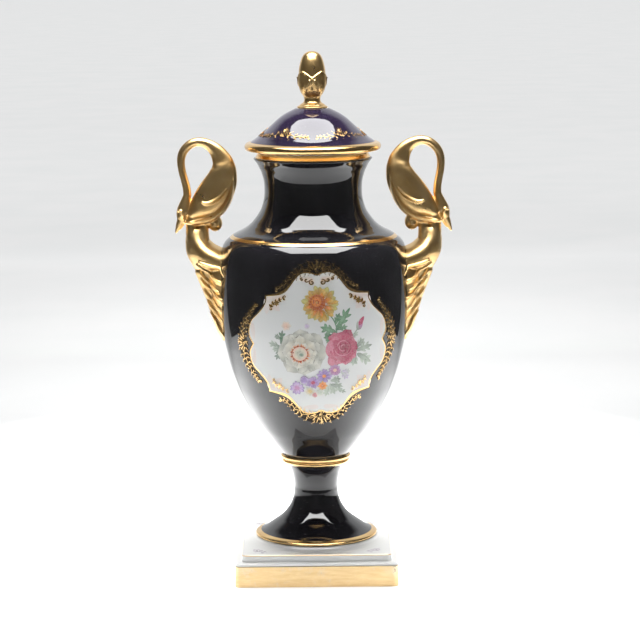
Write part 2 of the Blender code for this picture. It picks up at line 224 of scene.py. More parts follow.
# Level rings under the stems: out, height, half width, half depth.
BULB = [
    (0.0929, 0.2795, 0.0061, 0.0062), (0.0935, 0.2768, 0.0077, 0.0076),
    (0.0936, 0.2737, 0.0088, 0.0090), (0.0932, 0.2708, 0.0096, 0.0104),
    (0.0920, 0.2684, 0.0109, 0.0116), (0.0907, 0.2664, 0.0121, 0.0126),
    (0.0889, 0.2646, 0.0139, 0.0136), (0.0858, 0.2620, 0.0168, 0.0150),
    (0.0825, 0.2590, 0.0195, 0.0164), (0.0793, 0.2555, 0.0213, 0.0172),
    (0.0774, 0.2520, 0.0214, 0.0172), (0.0756, 0.2485, 0.0211, 0.0158),
    (0.0741, 0.2450, 0.0206, 0.0122), (0.0729, 0.2415, 0.0199, 0.0060),
]
BULB_POINTED = -0.40         # draws each ring to an edge along the leaf's spine
CURL = [
    (0.0940, 0.2852, 0.0050, 0.0056), (0.0885, 0.2856, 0.0052, 0.0060),
    (0.0838, 0.2856, 0.0054, 0.0062), (0.0795, 0.2848, 0.0048, 0.0062),
]
VOLUTE = (0.0788, 0.2836)
VOLUTE_SIZE = (0.0058, 0.0072, 0.0067)
VOLUTE_COIL = 0.0038         # the radius of the coil cut on each side of it
LEAN_FROM = 0.2850
LEAN_TO = 0.3520
LEAN = {"left": 0.0022, "right": -0.0022}

# The leaf that holds a handle. Distances round the belly are arcs from the handle's
# own plane.
LEAF_SPINE = [          # distance out from the urn's axis, height
    (0.0745, 0.1900), (0.0782, 0.1955), (0.0810, 0.2030), (0.0842, 0.2130),
    (0.0871, 0.2225), (0.0912, 0.2330), (0.0948, 0.2420), (0.0976, 0.2500),
    (0.0996, 0.2560), (0.0990, 0.2610), (0.0960, 0.2660),
]
LEAF_CORE = [           # half width of the leaf's smooth spine, height
    (0.0040, 0.1900), (0.0052, 0.1960), (0.0068, 0.2060), (0.0086, 0.2150),
    (0.0098, 0.2250), (0.0106, 0.2350), (0.0112, 0.2450), (0.0090, 0.2520),
    (0.0050, 0.2600),
]
LEAF_WEB = [            # how far round the belly the leaf reaches under its feathers
    (0.0095, 0.1915), (0.0125, 0.1980), (0.0155, 0.2060), (0.0175, 0.2150),
    (0.0205, 0.2230), (0.0185, 0.2290), (0.0190, 0.2350), (0.0195, 0.2420),
    (0.0160, 0.2480),
]
WEB_RISE = 0.58              # the web's height, as a share of the spine's
SPINE_END = 0.2440           # where the spine starts to sink under the bulb,
SPINE_FADE = 0.0100          # over this height,
SUNK_LEAF = 0.004            # and how far below the belly it ends
# Lines on the leaf, as (height, arc). A feather runs from its root to its tip.
BULB_LIP = [(0.2544, 0.0176), (0.2512, 0.0168), (0.2484, 0.0152), (0.2464, 0.0130),
            (0.2454, 0.0104)]
FEATHERS = [
    [(0.2535, 0.0098), (0.2500, 0.0148), (0.2465, 0.0185), (0.2446, 0.0218),
     (0.2434, 0.0262)],
    [(0.2515, 0.0072), (0.2462, 0.0098), (0.2412, 0.0122), (0.2382, 0.0158),
     (0.2370, 0.0212)],
    [(0.2468, 0.0060), (0.2402, 0.0078), (0.2345, 0.0098), (0.2308, 0.0130),
     (0.2290, 0.0176)],
    [(0.2400, 0.0058), (0.2325, 0.0078), (0.2272, 0.0116), (0.2240, 0.0165),
     (0.2222, 0.0232)],
    [(0.2310, 0.0050), (0.2235, 0.0070), (0.2182, 0.0100), (0.2150, 0.0140),
     (0.2142, 0.0188)],
    [(0.2222, 0.0046), (0.2150, 0.0064), (0.2098, 0.0094), (0.2060, 0.0130),
     (0.2028, 0.0174)],
    [(0.2130, 0.0036), (0.2060, 0.0050), (0.2000, 0.0070), (0.1955, 0.0094),
     (0.1926, 0.0116)],
]
FEATHER_WIDTH = 0.0028       # half a feather's width
FEATHER_DEPTH = 0.0012
FEATHER_TILT = math.radians(28)
LIP_BEAD = 0.00060
WING_BEAD = 0.0013
CHEEK_BEAD = 0.0010
COIL_BEAD = 0.0009
LEAF_ROOT = 0.0055           # how far the leaf reaches in under the belly's surface
LEAF_GRAIN = 0.0005
LEAF_ARC = 0.0380            # the patch that the leaf is cut from
LEAF_LOW = 0.1885
LEAF_HIGH = 0.2570
RAY_SIDE = 0.05              # where rays start, clear of the handle's side
RAY_OUT = 0.2                # and where they start outside the leaf
VOXEL = 0.00048              # the grain at which a handle's forms are fused

# The painted front. Places on it are the arc round the belly and the height, both
# from the panel's middle, and each table is one quarter or one half, mirrored.
PANEL_ARC = 0.0034
PANEL_HEIGHT = 0.1960
PANEL_TURN = math.radians(1.2)
PANEL_RINGS = 30
PANEL_CREST = [(0.0, 0.0548), (0.0045, 0.0569), (0.0095, 0.0573), (0.0140, 0.0557),
               (0.0178, 0.0519), (0.0213, 0.0475), (0.0255, 0.0432), (0.0318, 0.0404),
               (0.0422, 0.0388)]
PANEL_SIDE = [(0.0422, 0.0388), (0.0423, 0.0345), (0.0455, 0.0290), (0.0508, 0.0238),
              (0.0562, 0.0190), (0.0592, 0.0130), (0.0595, 0.0065), (0.0556, 0.0)]
CREST_LACE = [           # middle line and half width, from the middle outwards
    (0.0, 0.0607, 0.0056), (0.0065, 0.0609, 0.0050), (0.0130, 0.0584, 0.0043),
    (0.0190, 0.0540, 0.0034), (0.0245, 0.0494, 0.0024), (0.0295, 0.0456, 0.0015),
    (0.0328, 0.0450, 0.0009)]
SIDE_LACE = [
    (0.0676, 0.0, 0.0052), (0.0673, 0.0065, 0.0049), (0.0655, 0.0125, 0.0043),
    (0.0618, 0.0188, 0.0034), (0.0573, 0.0246, 0.0023), (0.0534, 0.0294, 0.0014),
    (0.0512, 0.0322, 0.0009)]
LID_GARLANDS = 5
LID_LACE_RADIUS = 0.0420     # the radius at which the lid's arcs are measured
LID_LACE = [
    (0.0, 0.3572, 0.0034), (0.0040, 0.3564, 0.0030), (0.0085, 0.3556, 0.0025),
    (0.0125, 0.3552, 0.0018), (0.0165, 0.3550, 0.0012), (0.0205, 0.3550, 0.0009),
    (0.0235, 0.3546, 0.0007)]
FRAME_HALF = 0.00050         # half the gilt line round the panel
FRAME_SWELL = 0.00060        # what it gains in the panel's hollows
FRAME_HOLLOW = 0.0275        # how far out the hollows are
FRAME_REACH = 0.0075         # how far the swelling spreads
FRAME_LEVEL = 0.036          # the hollows lie beyond this, above and below
FRAME_RIDGE = 0.00010
FRAME_CURLS = [          # middle, radius, first angle, turns
    ((0.0042, 0.0496), 0.0024, 1.9, -1.20), ((0.0082, 0.0514), 0.0017, 3.4, 0.95),
    ((0.0116, 0.0522), 0.0013, 2.0, -1.00)]
CORNER_VINE = [(0.0383, 0.0292), (0.0366, 0.0322), (0.0334, 0.0344), (0.0294, 0.0362),
               (0.0256, 0.0378)]
WASHES = [               # root, tip and half width of the pink washes in a corner
    ((0.0416, 0.0382), (0.0300, 0.0270), 0.0044),
    ((0.0405, 0.0372), (0.0420, 0.0240), 0.0030),
    ((0.0395, 0.0370), (0.0250, 0.0388), 0.0026),
    ((0.0560, 0.0170), (0.0545, 0.0030), 0.0020),
    ((0.0020, 0.0515), (0.0145, 0.0520), 0.0020)]
LIFT_SPRIG = 0.00004
LIFT_DARK_UNDERLAY = 0.00002
LIFT_GROUND = 0.00007
LIFT_GOLD = 0.00016
LIFT_STEP = 0.0000015
SUNK = 0.00012               # how far each painted shape is set into the glaze
STROKE = 0.00029             # half the width of a gilt stroke
FACET = 0.0013               # how finely a petal is divided
STRAND = 0.00004             # how far a fine gilt line rises along its middle
LACE_RISE = 0.00005
LACE_SWAY = 0.0011           # how quickly a garland's vine sways
DOUBLE_LACE = 0.0036         # the half width above which a garland has two rows a side

# Glaze and enamel colours.
COOL_WHITE = (0.965, 0.985, 1.0)
COOL_PANEL = (0.965, 0.980, 0.985)
GILT_EDGE = (0.085, 0.052, 0.022)
PORCELAIN_IOR = 1.5
SPRIG_GREY = (0.16, 0.13, 0.17)
OCHRE = (0.55, 0.30, 0.058)
STRAW = (0.64, 0.455, 0.14)
OLIVE = (0.48, 0.44, 0.15)
RUST = (0.52, 0.15, 0.022)
SIENNA = (0.30, 0.045, 0.014)
TANGERINE = (0.74, 0.25, 0.06)
CREAM = (0.55, 0.51, 0.40)
SHELL = (0.63, 0.625, 0.565)
PEARL = (0.25, 0.26, 0.205)
MIST = (0.40, 0.40, 0.335)
CRIMSON = (0.41, 0.052, 0.112)
WINE = (0.26, 0.020, 0.055)
BLUSH = (0.56, 0.19, 0.26)
LEAF_GREEN = (0.085, 0.200, 0.110)
LEAF_LIGHT = (0.200, 0.350, 0.220)
LEAF_GREY = (0.220, 0.270, 0.225)
LEAF_PALE = (0.440, 0.500, 0.420)
VIOLET = (0.30, 0.20, 0.46)
LILAC = (0.52, 0.40, 0.62)
MAUVE = (0.46, 0.20, 0.38)
PEACH = (0.70, 0.46, 0.36)
PINK_WASH = (0.66, 0.60, 0.575)
# A dark brown, dull sheet under the lace and along the panel's edge: it darkens where
# the glaze would shine.
DARK_UNDERLAY = (0.016, 0.011, 0.007)
DARK_UNDERLAY_EDGE = 0.0012         # half the dark underlay's width under the panel's gilt line
GILT = ((1.0, 1.0, 1.0), (1.0, 1.0, 1.0))

# Camera and light, taken from how the glaze mirrors the studio.
FLOOR_HALF = 150.0
SOFTBOX_BACK = -0.29
BACKDROP_HEIGHT = 1.0
ROOM_SOFTNESS = math.radians(120)
ROOM_TILT = (math.radians(12), math.radians(8), 0.0)
CURTAIN_LOW = 0.02
CURTAIN_HIGH = 0.80
CURTAIN_SWEEP = math.radians(252)
DARK_ROOM = 0.03
WHITE_WALL = 0.90
BACKGROUND = 0.80            # the wall as the camera sees it
BACKDROP_WIDTH = 12.0
BACKDROP_DEPTH = 30.0
BACKDROP_START = 1.0
KEY_BACK = 0.30
KEY_SPREAD = math.radians(105)
ROOM_LIGHT = 0.78
FLOOR_PAINTED_SHADE = [              # the floor paper painted darker where the key light falls hardest, as painted shade, by distance behind the urn
    (0.15, 0.82), (0.50, 0.235), (1.00, 0.34), (1.50, 0.60), (1.95, 0.84), (5.00, 0.80)]
CAMERA_DISTANCE = 1.927
CAMERA_PITCH = math.radians(8.9)
CAMERA_ROLL = math.radians(0.56)
CAMERA_AIM = 0.2042
LENS = 134.4
SHIFT = 0.0087


def catmull(points, steps):
    """A smooth line through the points, as (x, y) pairs with both ends kept."""
    line = []
    last = len(points) - 1
    for index in range(last):
        p0, p1, p2, p3 = (Vector(points[min(max(k, 0), last)])
                          for k in range(index - 1, index + 3))
        for step in range(steps):
            t = step / steps
            line.append(0.5 * (2 * p1 + (p2 - p0) * t
                               + (2 * p0 - 5 * p1 + 4 * p2 - p3) * t * t
                               + (3 * p1 - p0 - 3 * p2 + p3) * t * t * t))
    line.append(Vector(points[last]))
    return line


def heading(points, index):
    """The step from the point before to the point after, at a point of a line."""
    return points[min(index + 1, len(points) - 1)] - points[max(index - 1, 0)]


def quarter_turn(way):
    """The way a quarter turn to the left."""
    return Vector((-way.y, way.x))


def inset(outline, distance):
    """The outline moved in by a wall's thickness, square to itself."""
    points = [Vector(point) for point in outline]
    return [point + distance * quarter_turn(heading(points, index).normalized())
            for index, point in enumerate(points)]


def radius_at(outline, height):
    """An outline's radius at a height."""
    for (radius, low), (next_radius, high) in zip(outline, outline[1:]):
        if low <= height <= high:
            return radius + (next_radius - radius) * (height - low) / (high - low)
    raise ValueError(f"the outline has no radius at {height}")


def merge(target, bm):
    """Adds a bmesh to another one and frees it."""
    mesh = bpy.data.meshes.new("merge")
    bm.to_mesh(mesh)
    bm.free()
    target.from_mesh(mesh)
    bpy.data.meshes.remove(mesh)


def shaped(bm, name):
    """An object in the scene with the bmesh's shape."""
    mesh = bpy.data.meshes.new(name)
    bm.to_mesh(mesh)
    bm.free()
    item = bpy.data.objects.new(name, mesh)
    bpy.context.scene.collection.objects.link(item)
    return item


def turned(parts):
    """Spins an outline round Z. Each part is a run of points and its material."""
    whole = bmesh.new()
    for points, material in parts:
        bm = bmesh.new()
        verts = [bm.verts.new((radius, 0.0, height)) for radius, height in points]
        edges = [bm.edges.new(pair) for pair in zip(verts, verts[1:])]
        bmesh.ops.spin(bm, geom=verts + edges, cent=(0, 0, 0), axis=(0, 0, 1),
                       angle=math.tau, steps=SIDES, use_merge=True)
        for face in bm.faces:
            face.material_index = material
        merge(whole, bm)
    bmesh.ops.remove_doubles(whole, verts=whole.verts, dist=1e-6)
    bmesh.ops.dissolve_degenerate(whole, edges=whole.edges, dist=1e-6)
    bmesh.ops.recalc_face_normals(whole, faces=whole.faces)
    return whole


def finish_piece(bm, name, materials, node=None, sharp=40):
    """Makes the piece, gives it its materials, and ties it to the frame."""
    piece = shaped(bm, name)
    mesh = piece.data
    mesh.shade_smooth()
    mesh.set_sharp_from_angle(angle=math.radians(sharp))
    for material in materials:
        mesh.materials.append(material)
    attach(piece, BODY)
    if node:
        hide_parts(node)
    return piece


# Finishes.

def new_material(name):
    """A material with its node tree and its shader."""
    material = bpy.data.materials.new(name)
    material.use_nodes = True
    tree = material.node_tree
    return material, tree, tree.nodes["Principled BSDF"]


def feed(tree, socket, value):
    """Gives a socket its value: another socket, a colour or a number."""
    if isinstance(value, bpy.types.NodeSocket):
        tree.links.new(value, socket)
    elif isinstance(value, tuple):
        socket.default_value = (*value, 1.0)
    else:
        socket.default_value = value


def dress(tree, shader, looks):
    """Feeds the shader's named sockets."""
    for name, value in looks.items():
        feed(tree, shader.inputs[name], value)


def arithmetic(tree, operation, *values):
    """A Math node over sockets and numbers."""
    node = tree.nodes.new("ShaderNodeMath")
    node.operation = operation
    for socket, value in zip(node.inputs, values):
        feed(tree, socket, value)
    return node.outputs["Value"]


def axis(tree, vector, name):
    """One axis of a vector."""
    split = tree.nodes.new("ShaderNodeSeparateXYZ")
    tree.links.new(vector, split.inputs["Vector"])
    return split.outputs[name]


def own_place(tree):
    """Where a point lies in the object's own coordinates."""
    return tree.nodes.new("ShaderNodeTexCoord").outputs["Object"]


def noise(tree, scale, detail=4.0, roughness=0.55, distortion=0.0, flatten=1.0):
    """Noise on the object's own coordinates; scale is cycles per metre, and flatten
    packs it closer along the height."""
    squash = tree.nodes.new("ShaderNodeMapping")
    squash.inputs["Scale"].default_value = (1.0, 1.0, flatten)
    tree.links.new(own_place(tree), squash.inputs["Vector"])
    texture = tree.nodes.new("ShaderNodeTexNoise")
    dress(tree, texture, {"Scale": scale, "Detail": detail, "Roughness": roughness,
                          "Distortion": distortion, "Vector": squash.outputs["Vector"]})
    return texture.outputs["Fac"]


def ramp(tree, source, stops):
    """A colour ramp; each stop is a position and a colour."""
    node = tree.nodes.new("ShaderNodeValToRGB")
    elements = node.color_ramp.elements
    for element, (position, color) in zip(elements, (stops[0], stops[-1])):
        element.position = position
        element.color = (*color, 1.0)
    for position, color in stops[1:-1]:
        element = elements.new(position)
        element.color = (*color, 1.0)
    tree.links.new(source, node.inputs["Fac"])
    return node.outputs["Color"]


def spread(tree, source, low, high, from_low=0.0, from_high=1.0):
    """The source's range remapped to low..high."""
    node = tree.nodes.new("ShaderNodeMapRange")
    dress(tree, node, {"From Min": from_low, "From Max": from_high, "To Min": low,
                       "To Max": high, "Value": source})
    return node.outputs["Result"]


def mix(tree, factor, first, second, blend="MIX"):
    """Mixes two colours, each a socket or a plain colour."""
    node = tree.nodes.new("ShaderNodeMix")
    node.data_type = "RGBA"
    node.blend_type = blend
    for socket, value in ((node.inputs["Factor"], factor), (node.inputs[6], first),
                          (node.inputs[7], second)):
        feed(tree, socket, value)
    return node.outputs[2]


def clouded(tree, color, shade, scale, detail=3.0):
    """The colour with faint clouds of a shade of it."""
    cool = tuple(part * share for part, share in zip(color, shade))
    return ramp(tree, noise(tree, scale, detail), [(0.3, cool), (0.7, color)])


def bump(tree, shader, height, distance):
    """A fine unevenness of the shader's surface."""
    node = tree.nodes.new("ShaderNodeBump")
    dress(tree, node, {"Distance": distance, "Height": height})
    tree.links.new(node.outputs["Normal"], shader.inputs["Normal"])


def cobalt_glaze(color, name="cobalt glaze"):
    """Deep cobalt under a glossy glaze, with faint pooling and dust in the firing."""
    material, tree, shader = new_material(name)
    deep = tuple(0.72 * part for part in color)
    pale = tuple(1.35 * part for part in color)
    pooled = ramp(tree, noise(tree, 42.0, 3.0), [(0.30, deep), (0.70, pale)])
    dust = ramp(tree, noise(tree, 1500.0, 1.0), [(0.785, (0, 0, 0)), (0.80, (1, 1, 1))])
    dress(tree, shader, {"Base Color": mix(tree, dust, pooled, (0.30, 0.28, 0.30)),
                         "Roughness": spread(tree, noise(tree, 60.0, 3.0), 0.030, 0.075),
                         "IOR": 1.66})
    bump(tree, shader, noise(tree, 85.0, 2.0), 0.00006)
    return material


def burnished_gold(color, name="burnished gold", rough=0.19):
    """Fired gilding, burnished by hand: soft streaks and slightly duller hollows."""
    material, tree, shader = new_material(name)
    warm = (color[0], 0.90 * color[1], 0.80 * color[2])
    light = (min(1.0, 1.10 * color[0]), 1.10 * color[1], 1.18 * color[2])
    tone = ramp(tree, noise(tree, 55.0, 4.0, 0.5, 0.3), [(0.30, warm), (0.72, light)])
    dull = spread(tree, noise(tree, 90.0, 4.0, 0.55), rough, 1.3 * rough, 0.30, 0.70)
    dress(tree, shader, {"Base Color": tone, "Metallic": 1.0, "Roughness": dull})
    bump(tree, shader, noise(tree, 500.0, 2.0), 0.000012)
    return material


def white_porcelain(color):
    """Clear glazed white body with faint warm and cool clouding."""
    material, tree, shader = new_material("white porcelain")
    dress(tree, shader, {"Base Color": clouded(tree, color, COOL_WHITE, 30.0),
                         "Roughness": spread(tree, noise(tree, 55.0, 3.0), 0.08, 0.16),
                         "IOR": PORCELAIN_IOR})
    bump(tree, shader, noise(tree, 90.0, 2.0), 0.00004)
    return material


def gilt_porcelain(porcelain, gold):
    """White porcelain whose lower slab carries a gilt band, worn thin by handling,
    and whose upper slab has a fine gilt line along its top edge."""
    material, tree, shader = new_material("white porcelain with worn gilding")
    height = axis(tree, own_place(tree), "Z")
    ragged = arithmetic(tree, "MULTIPLY_ADD", noise(tree, 210.0, 3.0), 0.0007, height)
    band = spread(tree, ragged, 1.0, 0.0, GILT_BAND_TOP + 0.0002, GILT_BAND_TOP + 0.0005)
    wear = spread(tree, noise(tree, 70.0, 6.0, 0.7, 0.6), 1.0, 0.72, 0.52, 0.68)
    line = height_line(tree, height, STEP_TOP - 0.0007, GILT_LINE)
    gilt = arithmetic(tree, "MAXIMUM", arithmetic(tree, "MULTIPLY", band, wear), line)
    warm = (0.90 * gold[0], 0.88 * gold[1], 0.96 * gold[2])
    pale = (1.10 * gold[0], 1.18 * gold[1], 1.45 * gold[2])
    streaks = ramp(tree, noise(tree, 60.0, 5.0, 0.65, 0.4, 7.0),
                   [(0.30, warm), (0.70, pale)])
    edge = height_line(tree, height, GILT_BAND_TOP + 0.00025, 0.00028)
    # Painted shade: faces that look upwards get a darker porcelain colour than the
    # sides.
    facing = axis(tree, tree.nodes.new("ShaderNodeNewGeometry").outputs["Normal"], "Z")
    level = spread(tree, facing, 0.0, 1.0, 0.55, 0.95)
    painted_top_shade = tuple(TOP_PAINTED_SHADE * part for part in porcelain)
    white = mix(tree, level, clouded(tree, porcelain, COOL_WHITE, 30.0), painted_top_shade)
    surface = mix(tree, gilt, white, streaks)
    dress(tree, shader, {"Base Color": mix(tree, edge, surface, GILT_EDGE),
                         "Metallic": gilt, "Roughness": spread(tree, gilt, 0.10, 0.34),
                         "IOR": PORCELAIN_IOR})
    bump(tree, shader, noise(tree, 90.0, 2.0), 0.00004)
    return material


def height_line(tree, height, middle, half):
    """A band of heights, 1 within half a width of its middle."""
    away = arithmetic(tree, "ABSOLUTE", arithmetic(tree, "SUBTRACT", height, middle))
    return spread(tree, away, 1.0, 0.0, half, 1.4 * half)


def tinted(tree):
    """The colour painted on the mesh."""
    node = tree.nodes.new("ShaderNodeAttribute")
    node.attribute_name = "tint"
    return node.outputs["Color"]


def enamel(name="enamel colours"):
    """Painted enamel colours, fired soft and slightly uneven."""
    material, tree, shader = new_material(name)
    uneven = spread(tree, noise(tree, 900.0, 3.0), 0.0, 0.22, 0.35, 0.75)
    dress(tree, shader, {
        "Base Color": mix(tree, uneven, tinted(tree), (0.72, 0.71, 0.68)),
        "Roughness": spread(tree, noise(tree, 200.0, 2.0), 0.14, 0.24),
        "IOR": PORCELAIN_IOR})
    return material


def dark_underlay():
    """A dark brown sheet, much less glossy than the glaze; it darkens where the glaze
    would shine.
    """
    material, tree, shader = new_material("brown lustre")
    uneven = spread(tree, noise(tree, 300.0, 3.0), 0.0, 0.30)
    dress(tree, shader, {
        "Base Color": mix(tree, uneven, tinted(tree), (0.030, 0.021, 0.012)),
        "Roughness": 0.42, "Specular IOR Level": 0.22})
    return material


def panel_porcelain(color):
    """The white reserve, very slightly clouded."""
    material, tree, shader = new_material("panel porcelain")
    dress(tree, shader, {"Base Color": clouded(tree, color, COOL_PANEL, 35.0),
                         "Roughness": spread(tree, noise(tree, 60.0, 2.0), 0.07, 0.12),
                         "IOR": PORCELAIN_IOR})
    return material


def bare_biscuit():
    """Unglazed ground porcelain on seats and undersides."""
    material, tree, shader = new_material("bare biscuit")
    tone = ramp(tree, noise(tree, 240.0, 6.0),
                [(0.3, (0.66, 0.63, 0.58)), (0.7, (0.78, 0.76, 0.72))])
    dress(tree, shader, {"Base Color": tone, "Roughness": 0.75})
    bump(tree, shader, noise(tree, 1400.0, 4.0), 0.00008)
    return material


def value_at(table, height):
    """Reads a (value, height) table at a height, held at its ends."""
    if height <= table[0][1]:
        return table[0][0]
    for (value, low), (next_value, high) in zip(table, table[1:]):
        if height <= high:
            return value + (next_value - value) * (height - low) / (high - low)
    return table[-1][0]


def smooth_step(share):
    """Eases 0..1, held at both ends."""
    share = min(max(share, 0.0), 1.0)
    return share * share * (3.0 - 2.0 * share)


def skin(rings, sides, flats=None):
    """A closed skin through rings, each a matrix that places a unit circle. flats
    squares a ring's flanks: 0 leaves it round."""
    bm = bmesh.new()
    row = bm.verts.layers.int.new("row")
    bmesh.ops.create_circle(bm, cap_ends=False, segments=sides, radius=1.0)
    first = edges = list(bm.edges)
    for index in range(1, len(rings)):
        grown = bmesh.ops.extrude_edge_only(bm, edges=edges)["geom"]
        for vert in new_verts(grown):
            vert[row] = index
        edges = open_edges(grown)
    bmesh.ops.contextual_create(bm, geom=first)
    bmesh.ops.contextual_create(bm, geom=edges)
    for vert in bm.verts:
        if flats:
            depth = abs(vert.co.y) ** (1.0 - flats[vert[row]])
            vert.co.y = math.copysign(depth, vert.co.y)
        vert.co = rings[vert[row]] @ vert.co
    bmesh.ops.recalc_face_normals(bm, faces=bm.faces)
    return bm


def ring_at(place, across, deep, along):
    """The matrix that sets a unit circle's axes there."""
    ring = Matrix((across, deep, along)).transposed().to_4x4()
    ring.translation = place
    return ring


def new_verts(geometry):
    """The vertices of an extrusion."""
    return [item for item in geometry if isinstance(item, bmesh.types.BMVert)]


def open_edges(geometry):
    """The far edges of an extrusion."""
    return [item for item in geometry
            if isinstance(item, bmesh.types.BMEdge) and len(item.link_faces) == 1]


def loft(sections, sides=HANDLE_SIDES):
    """A closed skin over ellipses set square to a smooth path in the XZ plane."""
    sections = catmull(sections, 4)
    rings = []
    flats = []
    for index, (out, height, half_width, half_depth) in enumerate(sections):
        flats.append(0.58 * smooth_step((half_width - half_depth - 0.0005) / 0.0030))
        step = heading(sections, index)
        along = Vector((step[0], 0.0, step[1])).normalized()
        across = along.cross(Vector((0.0, 1.0, 0.0)))
        rings.append(ring_at((out, 0.0, height), across * half_width,
                             Vector((0.0, half_depth, 0.0)), along))
    return skin(rings, sides, flats)


def tube(path, radius):
    """A tapering closed tube along points in space."""
    rings = []
    last = len(path) - 1
    for index, point in enumerate(path):
        size = radius * (0.25 + 0.75 * math.sin(math.pi * index / last) ** 0.5)
        turn = heading(path, index).to_track_quat("Z", "Y").to_matrix()
        ring = (turn * size).to_4x4()
        ring.translation = point
        rings.append(ring)
    return skin(rings, 8)


def on_side(surface, line, front, lift):
    """The line in the handle's plane, laid on the surface's front or back."""
    points = []
    for out, height in catmull(line, 6):
        start = Vector((out, -RAY_SIDE * front, height))
        hit = surface.ray_cast(start, Vector((0.0, front, 0.0)))[0]
        if hit is not None:
            points.append(hit + Vector((0.0, -front * lift, 0.0)))
    return points


def wall_at(height):
    """The belly's own radius, up to the shoulder."""
    return value_at(BELLY + NECK[:3], height)


def leaf_stand(arc, height):
    """How far the leaf's spine and web stand off the belly; below zero beyond them."""
    wall = wall_at(height)
    share = arc / value_at(LEAF_CORE, height)
    fade = 1.0 - min(max((height - SPINE_END) / SPINE_FADE, 0.0), 1.0) ** 2
    spine = value_at(LEAF_SPINE, height) - wall
    stand = spine * (1.0 - share * share) ** 0.62 * fade if share < 1 else -SUNK_LEAF
    share = arc / value_at(LEAF_WEB, height)
    if share < 1.0 and LEAF_WEB[0][1] < height < LEAF_WEB[-1][1]:
        stand = max(stand, WEB_RISE * spine * (1.0 - share * share))
    return stand - SUNK_LEAF * (1.0 - fade)


def on_leaf(surface, line, front):
    """The line of heights and arcs, laid on the leaf's outside: each point with the
    way that faces out of the belly there."""
    laid = []
    for height, arc in catmull(line, 5):
        wall = wall_at(height)
        angle = front * arc / wall
        out = Vector((math.cos(angle), math.sin(angle), 0.0))
        level = Vector((0.0, 0.0, height))
        hit = surface.ray_cast(level + RAY_OUT * out, -out)[0]
        radius = wall if hit is None else max(math.hypot(hit.x, hit.y), wall)
        laid.append((level + radius * out, out))
    return laid


def lip_bead(surface, line, front):
    """A fine bead along the lip of the bulb."""
    return tube([point - 0.3 * LIP_BEAD * out
                 for point, out in on_leaf(surface, line, front)], LIP_BEAD)


def feather(surface, line, front):
    """A feather laid along its line, tilted so that its upper edge stands out."""
    laid = on_leaf(surface, line, front)
    points = [point for point, out in laid]
    rings = []
    for index, (point, out) in enumerate(laid):
        along = heading(points, index).normalized()
        across = along.cross(out).normalized()
        if across.z < 0:
            across.negate()
        normal = across.cross(along)
        if normal.dot(out) < 0:
            normal.negate()
        tilt = (across * math.cos(FEATHER_TILT) + normal * math.sin(FEATHER_TILT),
                normal * math.cos(FEATHER_TILT) - across * math.sin(FEATHER_TILT))
        share = index / (len(laid) - 1)
        width = FEATHER_WIDTH * (0.30 + 0.70 * math.sin(
            math.pi * min(share * 0.62 + 0.14, 1.0)))
        width *= 1.0 - 0.62 * smooth_step((share - 0.72) / 0.28)
        depth = FEATHER_DEPTH * (1.0 - 0.45 * share)
        rings.append(ring_at(point + 0.0002 * out, tilt[0] * width, tilt[1] * depth,
                             along))
    return skin(rings, 12)


def bulb():
    """The smooth bulb where the stems meet the leaf, as level rings."""
    rings = [Matrix.Translation((out, 0.0, height))
             @ Matrix.Diagonal((half_width, half_depth, 1.0, 1.0))
             for out, height, half_width, half_depth in catmull(BULB, 4)]
    return skin(rings, 56, [BULB_POINTED] * len(rings))


def leaf_patch():
    """The leaf, as one closed patch over the belly: below it wherever it is cut away."""
    bm = bmesh.new()
    wide = int(2 * LEAF_ARC / LEAF_GRAIN)
    tall = int((LEAF_HIGH - LEAF_LOW) / LEAF_GRAIN)
    bmesh.ops.create_grid(bm, x_segments=wide, y_segments=tall, size=1.0)
    for vert in bm.verts:
        arc = vert.co.x * LEAF_ARC
        height = (LEAF_LOW + LEAF_HIGH) / 2 + vert.co.y * (LEAF_HIGH - LEAF_LOW) / 2
        wall = wall_at(height)
        radius = wall + leaf_stand(abs(arc), height)
        vert.co = (radius * math.cos(arc / wall), radius * math.sin(arc / wall), height)
    deep = bmesh.ops.extrude_face_region(bm, geom=list(bm.faces))
    for vert in new_verts(deep["geom"]):
        inside = wall_at(vert.co.z) - LEAF_ROOT
        radius = math.hypot(vert.co.x, vert.co.y)
        vert.co.x *= inside / radius
        vert.co.y *= inside / radius
    bmesh.ops.recalc_face_normals(bm, faces=bm.faces)
    return bm


def applied(piece):
    """Bakes a piece's modifiers into its mesh."""
    graph = bpy.context.evaluated_depsgraph_get()
    mesh = bpy.data.meshes.new_from_object(piece.evaluated_get(graph))
    old = piece.data
    piece.modifiers.clear()
    piece.data = mesh
    bpy.data.meshes.remove(old)
    return piece


def add_beads(target, bm, line, lift, radius):
    """Lays a bead along the line on the form's front and on its back."""
    surface = BVHTree.FromBMesh(bm)
    for front in (1.0, -1.0):
        merge(target, tube(on_side(surface, line, front, lift), radius))


